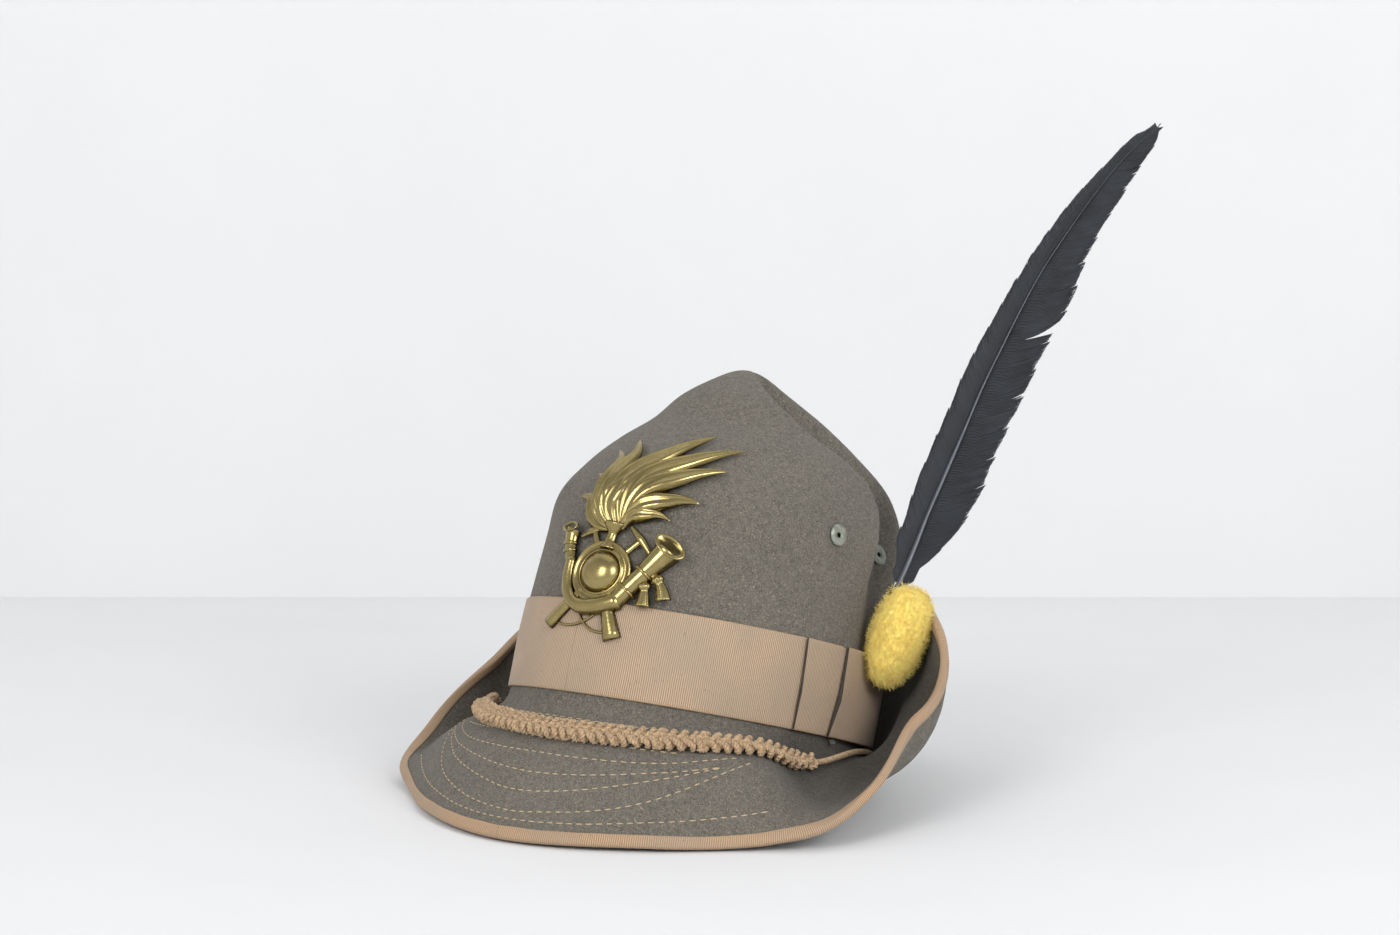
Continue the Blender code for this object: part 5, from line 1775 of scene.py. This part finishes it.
def number_prop(name, description, default, **limits):
    return bpy.props.FloatProperty(name=name, description=description, default=default, **limits)


def count_prop(name, description, default, low):
    return bpy.props.IntProperty(name=name, description=description, default=default, min=low)


class HatFeltLooks(bpy.types.PropertyGroup):
    felt_colour: colour_prop("Felt", "Main colour of the felt", (0.113, 0.105, 0.0875))
    fleck_colour: colour_prop("Flecks", "Colour of the pale hairs in the felt", (0.33, 0.30, 0.245))
    hair_size: length_prop("Hair size", "Size of the felt's matted hairs", 0.0011)
    nap_count: number_prop("Loose hairs", "Loose hairs on each square metre", 14000.0, min=0.0)
    nap_length: length_prop("Loose hair length", "Length of a loose hair", 0.0017)


class HatRibbonLooks(bpy.types.PropertyGroup):
    ribbon_colour: colour_prop("Ribbon", "Colour of the grosgrain", (0.430, 0.305, 0.204))
    # Darkened, the stain colour is also the painted shadow along the folds' front edges
    stain_and_shadow_colour: colour_prop("Stains", "Colour of soiling on the ribbon", (0.29, 0.235, 0.175))
    binding_colour: colour_prop("Binding", "Colour of the brim's edge ribbon", (0.43, 0.280, 0.165))
    edge_colour: colour_prop("Selvage", "Colour of the ribbon's woven edges", (0.42, 0.275, 0.155))
    rib_pitch: length_prop("Rib pitch", "Distance from one rib of the ribbon to the next", 0.00098)


class HatCordLooks(bpy.types.PropertyGroup):
    cord_colour: colour_prop("Cord", "Colour of the plaited cord", (0.58, 0.40, 0.235))
    cord_dark: colour_prop("Cord shade", "Colour deep in the cord's twist", (0.070, 0.055, 0.040))
    stitch_colour: colour_prop("Stitches", "Colour of the visor's stitches", (0.55, 0.42, 0.26))
    loops: count_prop("Plaits", "Full turns of each strand along the braid", 16, 2)
    cord_pitch: length_prop("Twist", "Length of one turn of the twisted cord", 0.0062)
    stitch_pitch: length_prop("Stitch pitch", "Distance from one stitch to the next", 0.0046)


class HatMetalLooks(bpy.types.PropertyGroup):
    brass_colour: colour_prop("Brass", "Colour of the badge where it is rubbed", (0.37, 0.295, 0.125))
    patina_colour: colour_prop("Patina", "Colour of the badge in its hollows", (0.050, 0.037, 0.013))
    enamel_colour: colour_prop("Enamel", "Paint on the vent eyelets", (0.16, 0.17, 0.14))


class HatPlumeLooks(bpy.types.PropertyGroup):
    wool_colour: colour_prop("Wool", "Colour of the tuft", (1.0, 0.765, 0.160))
    wool_deep_colour: colour_prop("Deep wool", "Warmer patches of the tuft", (1.0, 0.64, 0.100))
    pile: length_prop("Pile", "Length of the wool pile", 0.0019)
    yarn: length_prop("Yarn", "Half thickness of one lock of wool", 0.00007)
    pile_count: number_prop("Pile count", "Locks on each square metre", 1700000.0)
    barb_colour: colour_prop("Barbs", "Colour of the feather's barbs", (0.0190, 0.0208, 0.0254))
    barb_sheen_colour: colour_prop("Barb sheen", "Lighter patches of the barbs", (0.034, 0.040, 0.052))
    quill_colour: colour_prop("Quill", "Colour of the feather's shaft", (0.060, 0.064, 0.078))
    barbs: count_prop("Barbs", "Barbs on each side of the feather", 620, 20)
    scallops: number_prop("Scallops", "Scallops along each edge of the feather", 17.0)
    ragged: number_prop("Ragged", "Depth of the scallops, as a share of the width", 0.06)
    barb_sweep: number_prop("Barb sweep", "Angle between barb and shaft, in degrees", 33.0)


class HatStageLooks(bpy.types.PropertyGroup):
    floor_colour: colour_prop("Floor", "Colour of the floor", (0.80, 0.803, 0.81))
    wall_colour: colour_prop("Wall", "Colour of the wall", (0.735, 0.737, 0.742))
    wall_distance: number_prop("Wall distance", "From the hat to the wall", 0.64, unit="LENGTH")
    room_light: number_prop("Room light", "Strength of the even room light", 0.88)
    key_light: number_prop("Key light", "Power of the main light, in watts", 20.0)
    fill_light: number_prop("Fill light", "Power of the side light, in watts", 24.0)
    top_light: number_prop("Top light", "Power of the light above, in watts", 5.0)
    view_azimuth: number_prop("View azimuth", "Where the camera stands, in degrees", 37.0)
    view_pitch: number_prop("View pitch", "How far the camera looks down, in degrees", 5.4)
    lens: number_prop("Lens", "Focal length in millimetres", 70.04)


class HAT_OT_felt(bpy.types.Operator):
    """Make the felt crown and brim with their loose hairs"""

    bl_idname = "hat.felt"
    bl_label = "Felt body"

    def execute(self, context):
        looks = context.scene.hat_felt
        make_felt(looks)
        make_nap(looks)
        return {"FINISHED"}


class HAT_OT_ribbons(bpy.types.Operator):
    """Make the hat band, its two folds and the binding of the brim"""

    bl_idname = "hat.ribbons"
    bl_label = "Ribbons"

    def execute(self, context):
        looks = context.scene.hat_ribbon
        band = ribbon_look(looks, "tan_grosgrain", looks.ribbon_colour, BAND_HEIGHT)
        make_ribbon("band_ribbon", band, 0, replaces=["hat_band"])
        make_ribbon("band_fold_ribbon", band, 1, (72.7, 73.8, 73.3), FOLDS_END - 1, ["band_fold"])
        make_ribbon("band_pleat_ribbon", band, 2, (88.7, 89.4, 86.4), FOLDS_END - 2, ["band_pleat"])
        make_binding(ribbon_look(looks, "edge_grosgrain", looks.binding_colour, 0.05))
        return {"FINISHED"}


class HAT_OT_cords(bpy.types.Operator):
    """Make the plaited braid, the twisted cord, the stitches and the thread tacks"""

    bl_idname = "hat.cords"
    bl_label = "Cords and stitches"

    def execute(self, context):
        looks = context.scene.hat_cord
        cord = thread_look("tan_cord", tuple(looks.cord_colour), tuple(looks.cord_dark))
        make_braid(looks, cord)
        make_cord(looks, cord)
        dark = tinted(looks.stitch_colour, 0.6)[:3]
        make_stitches(looks, thread_look("stitch_thread", tuple(looks.stitch_colour), dark))
        make_tacks(thread_look("tack_thread", (0.20, 0.21, 0.18), (0.06, 0.065, 0.06)))
        return {"FINISHED"}


class HAT_OT_metal(bpy.types.Operator):
    """Make the brass badge and the painted eyelets, and finish the feather's sleeve"""

    bl_idname = "hat.metal"
    bl_label = "Badge and eyelets"

    def execute(self, context):
        looks = context.scene.hat_metal
        brass = brass_look(looks)
        make_badge(brass)
        make_eyelets(enamel_look(looks))
        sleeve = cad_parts["feather_sleeve"]
        for slot in sleeve.material_slots:
            slot.material = brass
        return {"FINISHED"}


class HAT_OT_plume(bpy.types.Operator):
    """Make the wool tuft and the feather"""

    bl_idname = "hat.plume"
    bl_label = "Tuft and feather"

    def execute(self, context):
        looks = context.scene.hat_plume
        make_tuft(looks, wool_look(looks))
        make_shaft(shaft_look(looks))
        barbs = barb_look(looks)
        make_vane(looks, barbs, "inner", -1)
        make_vane(looks, barbs, "outer", 1)
        return {"FINISHED"}


class HAT_OT_stage(bpy.types.Operator):
    """Make the pale floor and wall, the soft lights and the camera"""

    bl_idname = "hat.stage"
    bl_label = "Stage"

    def execute(self, context):
        make_stage(context.scene.hat_stage)
        return {"FINISHED"}


class HAT_PT_panel(bpy.types.Panel):
    """Lists the hat's pieces and their looks"""

    bl_idname = "HAT_PT_panel"
    bl_label = "Alpine hat"
    bl_space_type = "VIEW_3D"
    bl_region_type = "UI"
    bl_category = "Hat"

    def draw(self, context):
        for made, place, _ in PIECES:
            box = self.layout.box()
            box.operator(made.bl_idname)
            looks = getattr(context.scene, place)
            for name in looks.__annotations__:
                box.prop(looks, name)


PIECES = (
    (HAT_OT_felt, "hat_felt", HatFeltLooks),
    (HAT_OT_ribbons, "hat_ribbon", HatRibbonLooks),
    (HAT_OT_cords, "hat_cord", HatCordLooks),
    (HAT_OT_metal, "hat_metal", HatMetalLooks),
    (HAT_OT_plume, "hat_plume", HatPlumeLooks),
    (HAT_OT_stage, "hat_stage", HatStageLooks),
)


def register():
    for made, place, looks in PIECES:
        bpy.utils.register_class(looks)
        setattr(bpy.types.Scene, place, bpy.props.PointerProperty(type=looks))
        bpy.utils.register_class(made)
    bpy.utils.register_class(HAT_PT_panel)


def unregister():
    bpy.utils.unregister_class(HAT_PT_panel)
    for made, place, looks in reversed(PIECES):
        bpy.utils.unregister_class(made)
        delattr(bpy.types.Scene, place)
        bpy.utils.unregister_class(looks)


def main():
    register()
    bpy.ops.hat.felt()
    bpy.ops.hat.ribbons()
    bpy.ops.hat.cords()
    bpy.ops.hat.metal()
    bpy.ops.hat.plume()
    bpy.ops.hat.stage()


if __name__ == "__main__":
    main()
